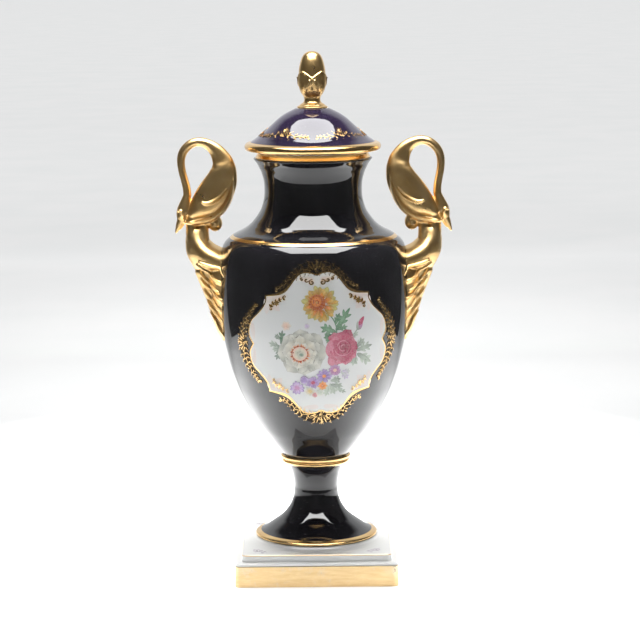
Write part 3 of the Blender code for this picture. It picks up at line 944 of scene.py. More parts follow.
def cast_handle():
    """One handle's surface at +X: the forms fused, softened and fitted to the belly."""
    whole = bmesh.new()
    swan = loft(SWAN)
    add_beads(whole, swan, WING_RIDGE, 0.0001, WING_BEAD)
    merge(whole, swan)
    head = loft(HEAD, 20)
    add_beads(whole, head, CHEEK_RIDGE, 0.0002, CHEEK_BEAD)
    merge(whole, head)
    for sections in (UPPER_BILL, LOWER_BILL, TAIL_RIM, STEM, INNER_STEM, CURL):
        merge(whole, loft(sections, 20))
    ball = bmesh.new()
    bmesh.ops.create_uvsphere(
        ball, u_segments=32, v_segments=18, radius=1.0,
        matrix=Matrix.Translation((VOLUTE[0], 0.0, VOLUTE[1]))
        @ Matrix.Diagonal((*VOLUTE_SIZE, 1.0)))
    coil = scroll(Vector(VOLUTE), VOLUTE_COIL, math.pi, -1.3, 0.8, 12)
    add_beads(whole, ball, coil, 0.0001, COIL_BEAD)
    merge(whole, ball)
    leaf = leaf_patch()
    merge(leaf, bulb())
    surface = BVHTree.FromBMesh(leaf)
    for front in (1.0, -1.0):
        merge(whole, lip_bead(surface, BULB_LIP, front))
        for line in FEATHERS:
            merge(whole, feather(surface, line, front))
    merge(whole, leaf)
    item = shaped(whole, "handle casting")
    fused = item.modifiers.new("fuse", "REMESH")
    fused.mode = "VOXEL"
    fused.voxel_size = VOXEL
    fused.use_smooth_shade = True
    soft = item.modifiers.new("soften", "SMOOTH")
    soft.factor = 0.5
    soft.iterations = 6
    applied(item)
    seat = [(radius + GAP / 2, height) for radius, height in BELLY + NECK]
    cutter = shaped(turned([([(0.0, seat[0][1]), *seat, (0.0, seat[-1][1])], 0)]),
                    "handle seat")
    cut = item.modifiers.new("seat", "BOOLEAN")
    cut.operation = "DIFFERENCE"
    cut.object = cutter
    applied(item)
    bpy.data.objects.remove(cutter)
    return item


def largest_part(bm):
    """Drops any loose crumbs beside the main shell."""
    unseen = set(bm.verts)
    parts = []
    while unseen:
        stack = [unseen.pop()]
        part = []
        while stack:
            vert = stack.pop()
            part.append(vert)
            for edge in vert.link_edges:
                other = edge.other_vert(vert)
                if other in unseen:
                    unseen.remove(other)
                    stack.append(other)
        parts.append(part)
    parts.sort(key=len)
    for part in parts[:-1]:
        bmesh.ops.delete(bm, geom=part, context="VERTS")


# Painting and gilding: flat shapes drawn in two dimensions, then laid on a surface.

BELLY_LINE = catmull(BELLY, 5)
DOME_LINE = catmull(DOME, 5)


def on_belly(arc, height, lift):
    """A place in the panel's own plane, laid on the belly."""
    arc, height = (arc * math.cos(PANEL_TURN) - height * math.sin(PANEL_TURN),
                   arc * math.sin(PANEL_TURN) + height * math.cos(PANEL_TURN))
    height += PANEL_HEIGHT
    radius = radius_at(BELLY_LINE, height)
    angle = (arc + PANEL_ARC) / radius
    return Vector(((radius + lift) * math.sin(angle),
                   -(radius + lift) * math.cos(angle), height))


class Drawing:
    """A sheet of flat shapes. Every vertex keeps its lift and its tint."""

    def __init__(self, lift, seed=7):
        self.bm = bmesh.new()
        self.lift = self.bm.verts.layers.float.new("lift")
        self.tint = self.bm.verts.layers.float_color.new("tint")
        self.level = lift
        self.chance = random.Random(seed)

    def sheet(self, across, along):
        """A fresh grid over -1..1 both ways, one step above the last shape."""
        self.level += LIFT_STEP
        made = bmesh.ops.create_grid(self.bm, x_segments=across, y_segments=along,
                                     size=1.0)
        return made["verts"]

    def stroke(self, path, half_widths, tint=GILT[0], ridge=0.0):
        """A ribbon along a line, raised by ridge along its middle."""
        last = len(path) - 1
        for vert in self.sheet(2, last):
            row = round((vert.co.y + 1) / 2 * last)
            side = vert.co.x
            normal = quarter_turn(heading(path, row)).normalized()
            place = path[row] + normal * side * half_widths[row]
            vert.co = (place.x, place.y, 0.0)
            vert[self.lift] = self.level + ridge * (1 - abs(side))
            vert[self.tint] = (*tint, 1.0)

    def line(self, path, width, ridge=0.0, tint=GILT[0]):
        """A stroke that swells in the middle and tapers at both ends."""
        last = len(path) - 1
        widths = [width * (0.35 + 0.65 * math.sin(math.pi * row / last) ** 0.5)
                  for row in range(last + 1)]
        self.stroke(path, widths, tint, ridge)

    def petal(self, root, tip, half, tones, fullness=0.6, bend=0.0, streak=0.10,
              edge=0.0):
        """A petal or leaf from root to tip. Its tones run from root to tip, and edge
        lightens its rim."""
        root, tip = Vector(root), Vector(tip)
        run = tip - root
        side_way = quarter_turn(run).normalized()
        phase = self.chance.uniform(0, math.tau)
        across = min(max(round(half / FACET), 2), 10)
        along = min(max(round(run.length / FACET), 5), 16)
        for vert in self.sheet(across, along):
            across, along = vert.co.x, (vert.co.y + 1) / 2
            width = half * (0.08 + 0.92 * math.sin(math.pi * along ** fullness) ** 0.6)
            bow = bend * math.sin(math.pi * along)
            cup = 0.16 * half * across * across * along
            place = root + run * along + side_way * (across * width + bow)
            place -= run.normalized() * cup
            vert.co = (place.x, place.y, 0.0)
            vert[self.lift] = self.level
            shade = 1 + streak * math.cos(5 * across + phase)
            shade *= 1 + edge * across * across
            vert[self.tint] = self.mixed(tones, along, shade)

    def leaf(self, root, tip, half, tones):
        """A lobed leaf: a middle blade, two pairs of side lobes and a pale vein."""
        run = tip - root
        side_way = quarter_turn(run).normalized()
        for share, reach in ((0.30, 0.34), (0.58, 0.30)):
            for hand in (1, -1):
                start = root + run * share
                end = start + run * reach * 0.8 + side_way * hand * half * 1.5
                self.petal(start, end, half * 0.48, tones, 0.9, streak=0.12)
        self.petal(root, tip, half * 0.72, tones, 0.8, streak=0.14, edge=-0.2)
        self.line([root + run * share for share in (0.0, 0.3, 0.6, 0.9)],
                  0.00014, tint=LEAF_PALE)

    def dab(self, middle, wide, tall, tones, turn=0.0):
        """A round touch of colour, its tones running from the middle outwards."""
        grain = 2 if wide < 2 * STROKE else 8
        middle = Vector(middle)
        rotation = Matrix.Rotation(turn, 2)
        for vert in self.sheet(grain, grain):
            across, along = vert.co.x, vert.co.y
            spot = Vector((across * math.sqrt(1 - along * along / 2),
                           along * math.sqrt(1 - across * across / 2)))
            share = spot.length
            place = middle + rotation @ Vector((spot.x * wide, spot.y * tall))
            vert.co = (place.x, place.y, 0.0)
            vert[self.lift] = self.level
            vert[self.tint] = self.mixed(tones, share, 1.0)

    def mixed(self, tones, share, shade):
        """The tone at a share of the way along the tones, darkened or lightened."""
        share = min(max(share, 0.0), 1.0) * (len(tones) - 1)
        index = min(int(share), len(tones) - 2)
        part = share - index
        return (*(min(1.0, shade * ((1 - part) * a + part * b))
                  for a, b in zip(tones[index], tones[index + 1])), 1.0)

    def blossom(self, middle, count, inner, outer, half, tones, turn=0.0, **looks):
        """A ring of petals, each a little out of step."""
        middle = Vector(middle)
        order = list(range(count))
        self.chance.shuffle(order)
        for index in order:
            angle = turn + math.tau * (index + self.chance.uniform(-0.18, 0.18)) / count
            way = Vector((math.cos(angle), math.sin(angle)))
            reach = outer * self.chance.uniform(0.90, 1.06)
            self.petal(middle + inner * way, middle + reach * way,
                       half * self.chance.uniform(0.88, 1.12), tones,
                       bend=self.chance.uniform(-0.1, 0.1) * half, **looks)

    def laid(self, place):
        """The drawing as closed shapes on its surface."""
        return lay(self.bm, self.lift, place)


def lay(bm, lift, place):
    """Closes every shape below and lays the sheet on its surface. lift is the layer
    that holds how far each vertex stands off it."""
    sheet = bmesh.ops.extrude_face_region(bm, geom=list(bm.faces))
    for vert in new_verts(sheet["geom"]):
        vert[lift] = -SUNK
    for vert in bm.verts:
        vert.co = place(vert.co.x, vert.co.y, vert[lift])
    bmesh.ops.recalc_face_normals(bm, faces=bm.faces)
    return bm


def mirrored(points, way_x, way_y):
    """The points on the plane, mirrored where a way is -1."""
    return [Vector((way_x * point[0], way_y * point[1])) for point in points]


def panel_outline():
    """The panel's edge, once round from its top notch."""
    quarter = catmull(PANEL_CREST, 6) + catmull(PANEL_SIDE, 6)[1:]
    loop = mirrored(quarter, 1, 1)
    loop += mirrored(reversed(quarter[:-1]), 1, -1)
    loop += mirrored(quarter[1:], -1, -1)
    loop += mirrored(reversed(quarter[1:-1]), -1, 1)
    return loop


def scroll(middle, radius, start, turns, tightness, steps=9):
    """A spiral line that winds inwards."""
    line = []
    for step in range(steps + 1):
        share = step / steps
        angle = start + turns * math.tau * share
        reach = radius * (1 - tightness * share)
        line.append(middle + reach * Vector((math.cos(angle), math.sin(angle))))
    return line


def garland(drawing, half_line, mirror, seed, stroke=STROKE, open_work=1.0):
    """A lace garland: two mirrored halves of small scrolls, from a palmette in the
    middle to a hooked tip. half_line holds (x, y, half width) from the middle out."""
    chance = random.Random(seed)
    for hand in (1, -1):
        places = catmull(half_line, 8)
        points = [mirror(place, hand) for place in places]
        widths = [place[2] for place in places]
        travelled = due = 0.0
        vine = []
        for index, (point, width) in enumerate(zip(points, widths)):
            along = heading(points, index).normalized()
            normal = quarter_turn(along)
            if index:
                travelled += (point - points[index - 1]).length
            sway = 0.22 * width * math.sin(travelled / LACE_SWAY)
            vine.append(point + normal * sway)
            if travelled < due or index == len(points) - 1:
                continue
            rows = (0.34, 0.80) if width > DOUBLE_LACE else (0.56,)
            size = max(width * (0.23 if len(rows) > 1 else 0.36), 2.4 * stroke)
            due = travelled + open_work * (3.5 * size + 0.0003)
            for side in (1, -1):
                for row, share in enumerate(rows):
                    centre = point + normal * side * width * share
                    centre += along * (row - 0.5) * size
                    face = math.atan2(-normal.y * side, -normal.x * side)
                    way = hand * side * (1 if row else -1)
                    drawing.line(scroll(centre, size, face, way * 0.72, 0.66, 7), stroke,
                                 LACE_RISE)
                rim = point + normal * side * width * chance.uniform(1.04, 1.12)
                rim += along * size * 1.3
                drawing.dab(rim, 1.3 * stroke, 1.3 * stroke, GILT)
        drawing.line(vine, stroke * 0.8, LACE_RISE)
        along = (points[-1] - points[-3]).normalized()
        normal = Vector((along.y, -along.x)) * hand
        reach = 4.6 * stroke
        hook = points[-1] + normal * reach
        start = math.atan2(-normal.y, -normal.x)
        drawing.line(scroll(hook, reach, start, hand * 0.85, 0.50), stroke * 1.15,
                     0.00006)
    middle = mirror(Vector(half_line[0]), 1)
    further = Vector((*(Vector(half_line[0][:2]) * 1.1), 0))
    out = (mirror(further, 1) - middle).normalized()
    side_way = quarter_turn(out)
    reach = half_line[0][2]
    base = middle - out * reach * 0.75
    for step in range(-3, 4):
        lean = step * 0.40
        way = out * math.cos(lean) + side_way * math.sin(lean)
        drawing.petal(base + way * reach * 0.7,
                      base + way * reach * (1.95 - 0.08 * abs(step)), 1.4 * stroke,
                      GILT, 1.2, streak=0.0)


def draw_flowers(art):
    """A loose spray: a daisy above, a peony and a rose, and small flowers below."""
    mm = 0.001

    def at(x, y):
        return Vector((x * mm, y * mm))

    def petals(fullness, *rows):
        """Single petals: root, tip, half width, tones and bend."""
        for root, tip, half, tones, bend in rows:
            art.petal(at(*root), at(*tip), half * mm, tones, fullness, bend * mm)

    art.line(catmull([at(8.0, 25.0), at(12.4, 18.6), at(14.2, 12.0), at(13.4, 4.0)], 5),
             0.5 * mm, tint=LEAF_GREEN)
    art.line(catmull([at(23.5, 1.0), at(28.0, 6.6), at(32.6, 12.2)], 5), 0.5 * mm,
             tint=LEAF_GREY)
    # Leaves: root, tip, half width, tones.
    for root, tip, half, tones in (
            ((13.4, 11.0), (25.6, 28.4), 2.7, [LEAF_GREEN, LEAF_LIGHT, LEAF_GREEN]),
            ((13.0, 15.5), (17.0, 25.0), 1.8, [LEAF_LIGHT, LEAF_GREEN]),
            ((13.8, 9.6), (1.2, 14.6), 2.6, [LEAF_GREEN, LEAF_LIGHT, LEAF_GREEN]),
            ((12.4, 6.8), (3.4, 5.6), 2.3, [LEAF_GREEN, LEAF_GREEN, LEAF_LIGHT]),
            ((13.2, 5.0), (5.4, 1.4), 2.2, [LEAF_GREEN, LEAF_LIGHT]),
            ((13.8, 11.6), (23.4, 13.8), 1.6, [LEAF_GREEN, LEAF_LIGHT]),
            ((24.5, 3.0), (32.2, 8.6), 1.4, [LEAF_GREY, LEAF_PALE]),
            ((29.0, -6.6), (45.0, -3.2), 2.4, [LEAF_GREY, LEAF_PALE, LEAF_GREY]),
            ((30.0, -4.0), (37.6, 2.6), 2.2, [LEAF_GREY, LEAF_PALE]),
            ((30.5, -9.0), (43.6, -17.6), 3.0, [LEAF_GREY, LEAF_PALE, LEAF_PALE]),
            ((29.0, -8.6), (26.6, -19.0), 2.6, [LEAF_GREY, LEAF_PALE]),
            ((-30.0, 0.0), (-28.6, 12.4), 1.9, [LEAF_GREY, LEAF_GREEN, LEAF_GREY]),
            ((-30.6, 4.4), (-35.0, 8.6), 1.4, [LEAF_GREY, LEAF_GREY]),
            ((-30.0, -1.6), (-41.0, 1.8), 1.8, [LEAF_GREY, LEAF_PALE]),
            ((-30.0, -3.0), (-38.0, -3.6), 1.6, [LEAF_GREY, LEAF_PALE]),
            ((-30.4, -2.2), (-34.8, -12.4), 1.7, [LEAF_GREY, LEAF_GREY]),
            ((8.0, -30.0), (16.6, -28.6), 1.9, [LEAF_PALE, LEAF_GREY]),
            ((7.6, -32.0), (11.4, -41.6), 2.1, [LEAF_PALE, LEAF_PALE]),
            ((8.0, -33.0), (18.4, -35.6), 1.9, [LEAF_GREY, LEAF_PALE]),
            ((6.4, -33.6), (3.6, -43.0), 1.7, [LEAF_PALE, LEAF_PALE]),
            ((12.0, -36.4), (20.6, -40.6), 1.2, [LEAF_PALE, LEAF_GREY]),
            ((17.0, -22.4), (22.6, -29.2), 1.8, [LEAF_PALE, LILAC]),
            ((17.4, -22.6), (24.6, -23.0), 1.4, [LILAC, LEAF_PALE]),
            ((-10.4, -33.6), (-13.6, -28.4), 1.2, [LILAC, LEAF_PALE])):
        art.leaf(at(*root), at(*tip), half * mm, tones)
    # The small buds.
    for place, reach, tones in ((at(-25.6, 15.6), 4.6, [PEACH, SHELL]),
                                (at(-9.0, 15.4), 2.6, [LILAC, SHELL])):
        art.blossom(place, 6, 0.2 * mm, reach * mm, 1.6 * mm, tones)
    # The peony: three rings of broad pale petals round a rust-edged heart.
    heart = at(-15.2, -6.8)
    bloom = at(-13.4, -5.6)
    for middle, count, inner, outer, half, tones, edge, fullness, turn in (
            (bloom, 8, 5.0, 20.6, 7.2, [PEARL, MIST, SHELL], -0.34, 1.9, 0.0),
            (bloom, 7, 4.0, 17.2, 6.6, [PEARL, MIST, SHELL], -0.32, 1.9, 0.3),
            (bloom + at(-0.6, 0.0), 7, 3.0, 13.8, 5.6, [PEARL, CREAM, SHELL], -0.30,
             1.9, 0.8),
            (heart, 8, 2.0, 10.6, 4.0, [PEARL, CREAM, SHELL], -0.26, 1.8, 0.1)):
        art.blossom(middle, count, inner * mm, outer * mm, half * mm, tones,
                    edge=edge, fullness=fullness, turn=turn)
    art.blossom(heart, 22, 4.8 * mm, 8.4 * mm, 0.80 * mm, [SIENNA, RUST, PEACH])
    art.blossom(heart, 15, 4.6 * mm, 7.4 * mm, 0.80 * mm, [SIENNA, SIENNA], turn=0.1)
    art.dab(heart, 5.8 * mm, 5.6 * mm, [CREAM, CREAM, PEACH])
    art.blossom(heart, 7, 1.0 * mm, 5.0 * mm, 1.7 * mm, [PEARL, CREAM, CREAM],
                fullness=1.6)
    art.dab(heart + at(1.2, -0.8), 2.4 * mm, 2.0 * mm, [LEAF_GREEN, LEAF_GREY, CREAM])
    # The rose: guard petals, then a swirl that closes on its heart.
    middle = at(18.4, -4.4)
    petals(1.8, ((17.0, 0.0), (26.0, 10.6), 5.0, [CRIMSON, WINE, CRIMSON], 0.0),
           ((14.0, 0.0), (11.6, 9.8), 5.4, [CRIMSON, CRIMSON, BLUSH], 0.0))
    art.blossom(middle, 8, 3.0 * mm, 13.4 * mm, 6.2 * mm, [WINE, CRIMSON, BLUSH],
                edge=0.16, fullness=1.8, turn=0.2)
    petals(1.8, ((9.0, -5.0), (12.6, -18.6), 5.0, [CRIMSON, BLUSH, BLUSH], 0.0),
           ((21.0, -6.0), (20.4, -17.6), 5.4, [CRIMSON, CRIMSON, BLUSH], 0.0),
           ((24.0, -3.0), (31.4, -4.6), 5.4, [CRIMSON, CRIMSON, WINE], 0.0))
    art.dab(middle + at(0.8, 0.6), 10.0 * mm, 9.6 * mm, [WINE, CRIMSON, CRIMSON])
    petals(1.0, ((9.0, 3.6), (13.4, -13.6), 3.6, [BLUSH, BLUSH, CRIMSON], -2.6),
           ((10.4, 4.0), (26.8, 4.6), 2.8, [BLUSH, CRIMSON, CRIMSON], 2.4),
           ((12.0, -10.4), (26.6, -9.0), 3.0, [BLUSH, CRIMSON, CRIMSON], -2.6))
    art.dab(middle + at(0.6, 1.8), 5.2 * mm, 4.8 * mm, [WINE, WINE, CRIMSON])
    for radius, start, tint in ((7.2, 3.4, BLUSH), (5.6, 0.4, BLUSH), (3.4, 2.6, BLUSH),
                                (6.4, 5.0, WINE), (4.4, 4.2, WINE), (2.0, 0.8, BLUSH)):
        art.line(scroll(middle + at(0.6, 1.6), radius * mm, start, 0.40, 0.12),
                 0.50 * mm, tint=tint)
    # The rosebud.
    art.petal(at(31.6, 10.0), at(35.6, 18.0), 2.3 * mm, [LEAF_GREY, MAUVE, BLUSH], 0.8)
    art.petal(at(32.6, 13.6), at(37.4, 20.4), 1.6 * mm, [CRIMSON, CRIMSON], 0.8)
    art.petal(at(31.2, 10.2), at(31.6, 17.0), 0.9 * mm, [LEAF_GREY, LEAF_PALE], 0.7)
    # The daisy: two rows of petals round a dark-rimmed eye.
    eye = at(-0.4, 33.6)
    face = at(1.6, 32.6)
    art.blossom(face, 17, 5.0 * mm, 14.4 * mm, 2.0 * mm, [RUST, OLIVE, OLIVE],
                streak=0.20, edge=-0.2, fullness=1.7)
    for turn in (0.9, 1.7, 2.5, 3.3):
        way = Vector((math.cos(turn), math.sin(turn)))
        art.blossom(face - way * 1.2 * mm, 5, 5.0 * mm, 13.4 * mm, 1.8 * mm,
                    [RUST, OCHRE, STRAW], streak=0.20, edge=-0.22, fullness=1.7,
                    turn=turn)
    art.blossom(face, 13, 4.0 * mm, 12.4 * mm, 1.7 * mm, [RUST, OCHRE, STRAW],
                streak=0.22, edge=-0.22, fullness=1.7, turn=0.15)
    art.blossom(face + at(0.0, -0.6), 7, 4.0 * mm, 11.0 * mm, 1.2 * mm,
                [SIENNA, TANGERINE, OCHRE], turn=-0.4, fullness=1.4)
    art.dab(eye, 6.3 * mm, 6.6 * mm, [RUST, SIENNA, RUST], 0.4)
    art.dab(eye + at(-0.6, 0.9), 4.0 * mm, 4.2 * mm, [TANGERINE, TANGERINE, RUST])
    art.line(scroll(eye + at(-0.5, 0.7), 3.0 * mm, 0.6, 1.4, 0.7), 0.5 * mm, tint=SIENNA)
    art.dab(eye + at(-0.3, 0.2), 1.0 * mm, 1.0 * mm, [OLIVE, RUST])
    art.blossom(eye, 15, 5.0 * mm, 7.4 * mm, 0.6 * mm, [SIENNA, RUST])
    # Asters and the small flowers under them.
    for place, reach, tones, dot in (
            (at(-18.2, -35.0), 6.0, [MAUVE, LILAC, VIOLET], MAUVE),
            (at(-5.6, -30.8), 5.8, [MAUVE, VIOLET, LILAC], CRIMSON),
            (at(3.2, -25.6), 6.4, [VIOLET, VIOLET, LILAC], TANGERINE),
            (at(11.8, -21.2), 5.0, [MAUVE, MAUVE, LILAC], PEACH),
            (at(-12.4, -28.4), 3.6, [VIOLET, LILAC], VIOLET)):
        art.blossom(place, 11, 0.8 * mm, reach * mm, 1.25 * mm, tones, streak=0.18,
                    edge=-0.2, fullness=1.5)
        art.dab(place, 1.5 * mm, 1.4 * mm, [dot, dot])
    for place, reach, tones in (
            (at(1.8, -33.6), 4.2, [RUST, TANGERINE, STRAW]),
            (at(-8.2, -38.0), 4.4, [STRAW, CREAM, SHELL]),
            (at(-4.4, -41.2), 2.4, [BLUSH, PEACH]),
            (at(-0.6, -39.4), 3.2, [LEAF_PALE, SHELL])):
        art.blossom(place, 8, 0.3 * mm, reach * mm, 1.3 * mm, tones)


class UrnColors(bpy.types.PropertyGroup):
    """Colours of the three finishes."""

    cobalt: FloatVectorProperty(
        name="Cobalt", description="Colour of the cobalt under the glaze",
        subtype="COLOR", size=3, min=0.0, max=1.0, default=(0.0092, 0.0088, 0.0106))
    gold: FloatVectorProperty(
        name="Gold", description="Colour of the burnished gilding",
        subtype="COLOR", size=3, min=0.0, max=1.0, default=(0.78, 0.55, 0.245))
    porcelain: FloatVectorProperty(
        name="Porcelain", description="Colour of the white porcelain",
        subtype="COLOR", size=3, min=0.0, max=1.0, default=(0.74, 0.735, 0.715))
    panel: FloatVectorProperty(
        name="Panel", description="Colour of the white panel on the belly",
        subtype="COLOR", size=3, min=0.0, max=1.0, default=(0.655, 0.66, 0.65))


class UrnStudio(bpy.types.PropertyGroup):
    """Sizes and brightness of the studio."""

    softbox_height: FloatProperty(
        name="Softbox height", description="Height of the overhead softbox",
        unit="LENGTH", default=1.30)
    softbox_width: FloatProperty(
        name="Softbox width", description="Softbox size from left to right",
        unit="LENGTH", default=1.15)
    softbox_depth: FloatProperty(
        name="Softbox depth", description="Softbox size from front to back",
        unit="LENGTH", default=1.05)
    softbox_power: FloatProperty(
        name="Softbox power", description="Power of the overhead softbox",
        unit="POWER", default=35.0)
    key_power: FloatProperty(
        name="Key power", description="Power of the light that the softbox casts",
        unit="POWER", default=37.0)
    backdrop_power: FloatProperty(
        name="Backdrop power", description="Power of the light over the far floor",
        unit="POWER", default=720.0)
    curtain_radius: FloatProperty(
        name="Curtain radius", description="Distance of the dark curtain in front",
        unit="LENGTH", default=0.62)


def finishes():
    """The named finishes, made once."""
    if "cobalt glaze" not in bpy.data.materials:
        colors = bpy.context.scene.urn_colors
        cobalt_glaze(tuple(colors.cobalt))
        burnished_gold(tuple(colors.gold))
        burnished_gold(tuple(colors.gold), "satin gold", 0.27)
        white_porcelain(tuple(colors.porcelain))
        bare_biscuit()
    return [bpy.data.materials[name] for name in
            ("cobalt glaze", "burnished gold", "white porcelain", "bare biscuit",
             "satin gold")]


COBALT, GOLD, WHITE, BARE, SATIN = range(5)


class URN_OT_body(bpy.types.Operator):
    """Build the hollow body with its gilt rings"""

    bl_idname = "urn.body"
    bl_label = "Body"

    def execute(self, context):
        inner = inset(BELLY[4::3] + NECK[3:-4:3], BODY_WALL)
        inside = [BORE[-1], *catmull(list(reversed(inner)), 3), *HOLLOW_FLOOR]
        parts = [
            ([(0.0, BODY_BOTTOM), BODY_RING[0]], BARE),
            (catmull(BODY_RING, 4), GOLD),
            ([BODY_RING[-1], BELLY[0]], COBALT),
            (catmull(BELLY, 4), COBALT),
            (catmull(SHOULDER_LINE, 2), GOLD),
            (catmull(NECK, 4), COBALT),
            (catmull(LIP, 4), COBALT),
            (catmull(MOUTH_BAND, 4), GOLD),
            (BORE, BARE),
            (inside, WHITE),
        ]
        finish_piece(turned(parts), "urn_body_glazed", finishes()[:4],
                     "urn_body")
        return {"FINISHED"}


class URN_OT_foot(bpy.types.Operator):
    """Build the hollow pedestal foot with its gilt ring and bead"""

    bl_idname = "urn.foot"
    bl_label = "Pedestal foot"

    def execute(self, context):
        hollow = inset(FLARE[::2], FOOT_WALL)
        under = FOOT_RING[0][1]
        parts = [
            ([(FOOT_HOLLOW, under), FOOT_RING[0]], BARE),
            (catmull(FOOT_RING, 4), GOLD),
            (catmull(FLARE, 4), COBALT),
            (catmull(FOOT_BEAD, 4), GOLD),
            ([FOOT_BEAD[-1], (0.0, FOOT_TOP)], BARE),
            ([(0.0, FOOT_ROOF), (0.0130, FOOT_ROOF - 0.0020), *reversed(hollow),
              (FOOT_HOLLOW, under)], BARE),
        ]
        finish_piece(turned(parts), "pedestal_foot_glazed", finishes()[:4],
                     "pedestal_foot")
        return {"FINISHED"}


class URN_OT_lid(bpy.types.Operator):
    """Build the domed lid with its gilt rim and locating flange"""

    bl_idname = "urn.lid"
    bl_label = "Lid"

    def execute(self, context):
        inner = inset(DOME[1::2], LID_WALL)
        flange = [*FLANGE, (FLANGE[-1][0], inner[1].y - 0.0030)]
        ceiling = [flange[-1], *[point for point in inner if point[0] < CEILING_RADIUS],
                   (0.0, LID_SEAT - LID_WALL)]
        parts = [
            ([(0.0, LID_SEAT), DOME[-1]], BARE),
            (catmull(DOME, 5), COBALT),
            (catmull(LID_RIM, 4), GOLD),
            ([LID_RIM[0], (0.0458, LID_BEARING), FLANGE[0]], BARE),
            (flange, BARE),
            (ceiling, WHITE),
        ]
        cobalt = context.scene.urn_colors.cobalt
        thin = cobalt_glaze((1.30 * cobalt[0], 0.92 * cobalt[1], 1.85 * cobalt[2]),
                            "cobalt glaze, thinner")
        finish_piece(turned(parts), "lid_glazed", [thin, *finishes()[1:4]],
                     "lid")
        art = Drawing(LIFT_GOLD, seed=11)
        for turn in range(LID_GARLANDS):
            angle = math.tau * (turn + 0.5) / LID_GARLANDS
            shift = angle * LID_LACE_RADIUS

            def place(spot, hand, shift=shift):
                return Vector((shift + hand * spot[0], spot[1]))

            garland(art, LID_LACE, place, turn, 0.55 * STROKE, 1.5)
        finish_piece(art.laid(self.on_lid), "lid_gilding", [finishes()[GOLD]])
        return {"FINISHED"}

    def on_lid(self, arc, height, lift):
        """A place laid on the dome."""
        radius = radius_at(DOME_LINE, height)
        angle = arc / LID_LACE_RADIUS
        return Vector(((radius + lift) * math.sin(angle),
                       -(radius + lift) * math.cos(angle), height + 0.6 * lift))


class URN_OT_plinth(bpy.types.Operator):
    """Build the hollow two-step plinth with its worn gilt band"""

    bl_idname = "urn.plinth"
    bl_label = "Plinth"

    def execute(self, context):
        lower = shaped(self.slab(SLAB_HALF, 0.0, SLAB_TOP, SLAB_SOFTENED), "plinth slab")
        upper = self.slab(STEP_HALF, SLAB_TOP / 2, STEP_TOP, STEP_SOFTENED)
        low = SLAB_TOP / 2
        seat = turned([([(0.0, low), (BOSS[0][0], low), BOSS[0]], WHITE),
                       (catmull(BOSS, 4), WHITE), ([BOSS[-1], (0.0, BOSS_TOP)], BARE)])
        well, recess = (self.slab(half - PLINTH_WALL, -SLAB_TOP, top - PLINTH_WALL,
                                  RECESS_SOFTENED)
                        for half, top in ((SLAB_HALF, SLAB_TOP), (STEP_HALF, STEP_TOP)))
        vent = turned([([(0.0, 0.0), (VENT_RADIUS, 0.0), (VENT_RADIUS, 2 * BOSS_TOP),
                         (0.0, 2 * BOSS_TOP)], BARE)])
        tools = [(upper, "UNION"), (seat, "UNION"), (well, "DIFFERENCE"),
                 (recess, "DIFFERENCE"), (vent, "DIFFERENCE")]
        for bm, operation in tools:
            tool = shaped(bm, "plinth tool")
            step = lower.modifiers.new(operation, "BOOLEAN")
            step.operation = operation
            step.object = tool
            applied(lower)
            bpy.data.objects.remove(tool)
        bm = bmesh.new()
        bm.from_mesh(lower.data)
        bpy.data.objects.remove(lower)
        for face in bm.faces:
            face.material_index = 0
            if face.calc_center_median().z < 0.0001 and face.normal.z < -0.5:
                face.material_index = 1
        colors = context.scene.urn_colors
        glazed = gilt_porcelain(tuple(colors.porcelain), tuple(colors.gold))
        finish_piece(bm, "plinth_glazed", [glazed, finishes()[BARE]],
                     "plinth", 30)
        art = Drawing(LIFT_SPRIG, seed=5)
        for x, y in CORNERS:
            self.sprig(art, x, y)
        finish_piece(art.laid(lambda x, y, lift: Vector((x, y, STEP_TOP + lift))),
                     "plinth_sprigs", [enamel("grey enamel")])
        return {"FINISHED"}

    def sprig(self, art, x, y):
        """A faint painted flourish in one corner of the upper slab."""
        tones = [SPRIG_GREY, SPRIG_GREY]
        stem = mirrored(catmull(SPRIG_STEM, 4), x, y)
        art.line(stem, 0.00030, tint=SPRIG_GREY)
        for middle, radius, start, turns in SPRIG_CURLS:
            place = Vector((x * middle[0], y * middle[1]))
            angle = math.atan2(y * math.sin(start), x * math.cos(start))
            art.line(scroll(place, radius, angle, x * y * turns, 0.7), 0.00028,
                     tint=SPRIG_GREY)
        for index in (4, 8, 12):
            way = Vector((x, y)) if index == 8 else Vector((-x, -0.6 * y))
            art.petal(stem[index], stem[index] + way * 0.0028, 0.00050, tones, 0.8)

    def slab(self, half, bottom, top, edge):
        """A square slab with rounded corners and a softened top edge."""
        bm = bmesh.new()
        size = Matrix.Diagonal((2 * half, 2 * half, top - bottom, 1.0))
        lift = Matrix.Translation((0.0, 0.0, (bottom + top) / 2))
        bmesh.ops.create_cube(bm, size=1.0, matrix=lift @ size)
        upright = [item for item in bm.edges
                   if abs(item.verts[0].co.z - item.verts[1].co.z) > (top - bottom) / 2]
        bmesh.ops.bevel(bm, geom=upright, offset=SLAB_CORNER, offset_type="OFFSET",
                        affect="EDGES", segments=10, profile=0.5, material=-1)
        rim = [item for item in bm.edges
               if all(vert.co.z > top - 1e-6 for vert in item.verts)]
        bmesh.ops.bevel(bm, geom=rim, offset=edge, offset_type="OFFSET",
                        affect="EDGES", segments=5, profile=0.5, material=-1)
        return bm


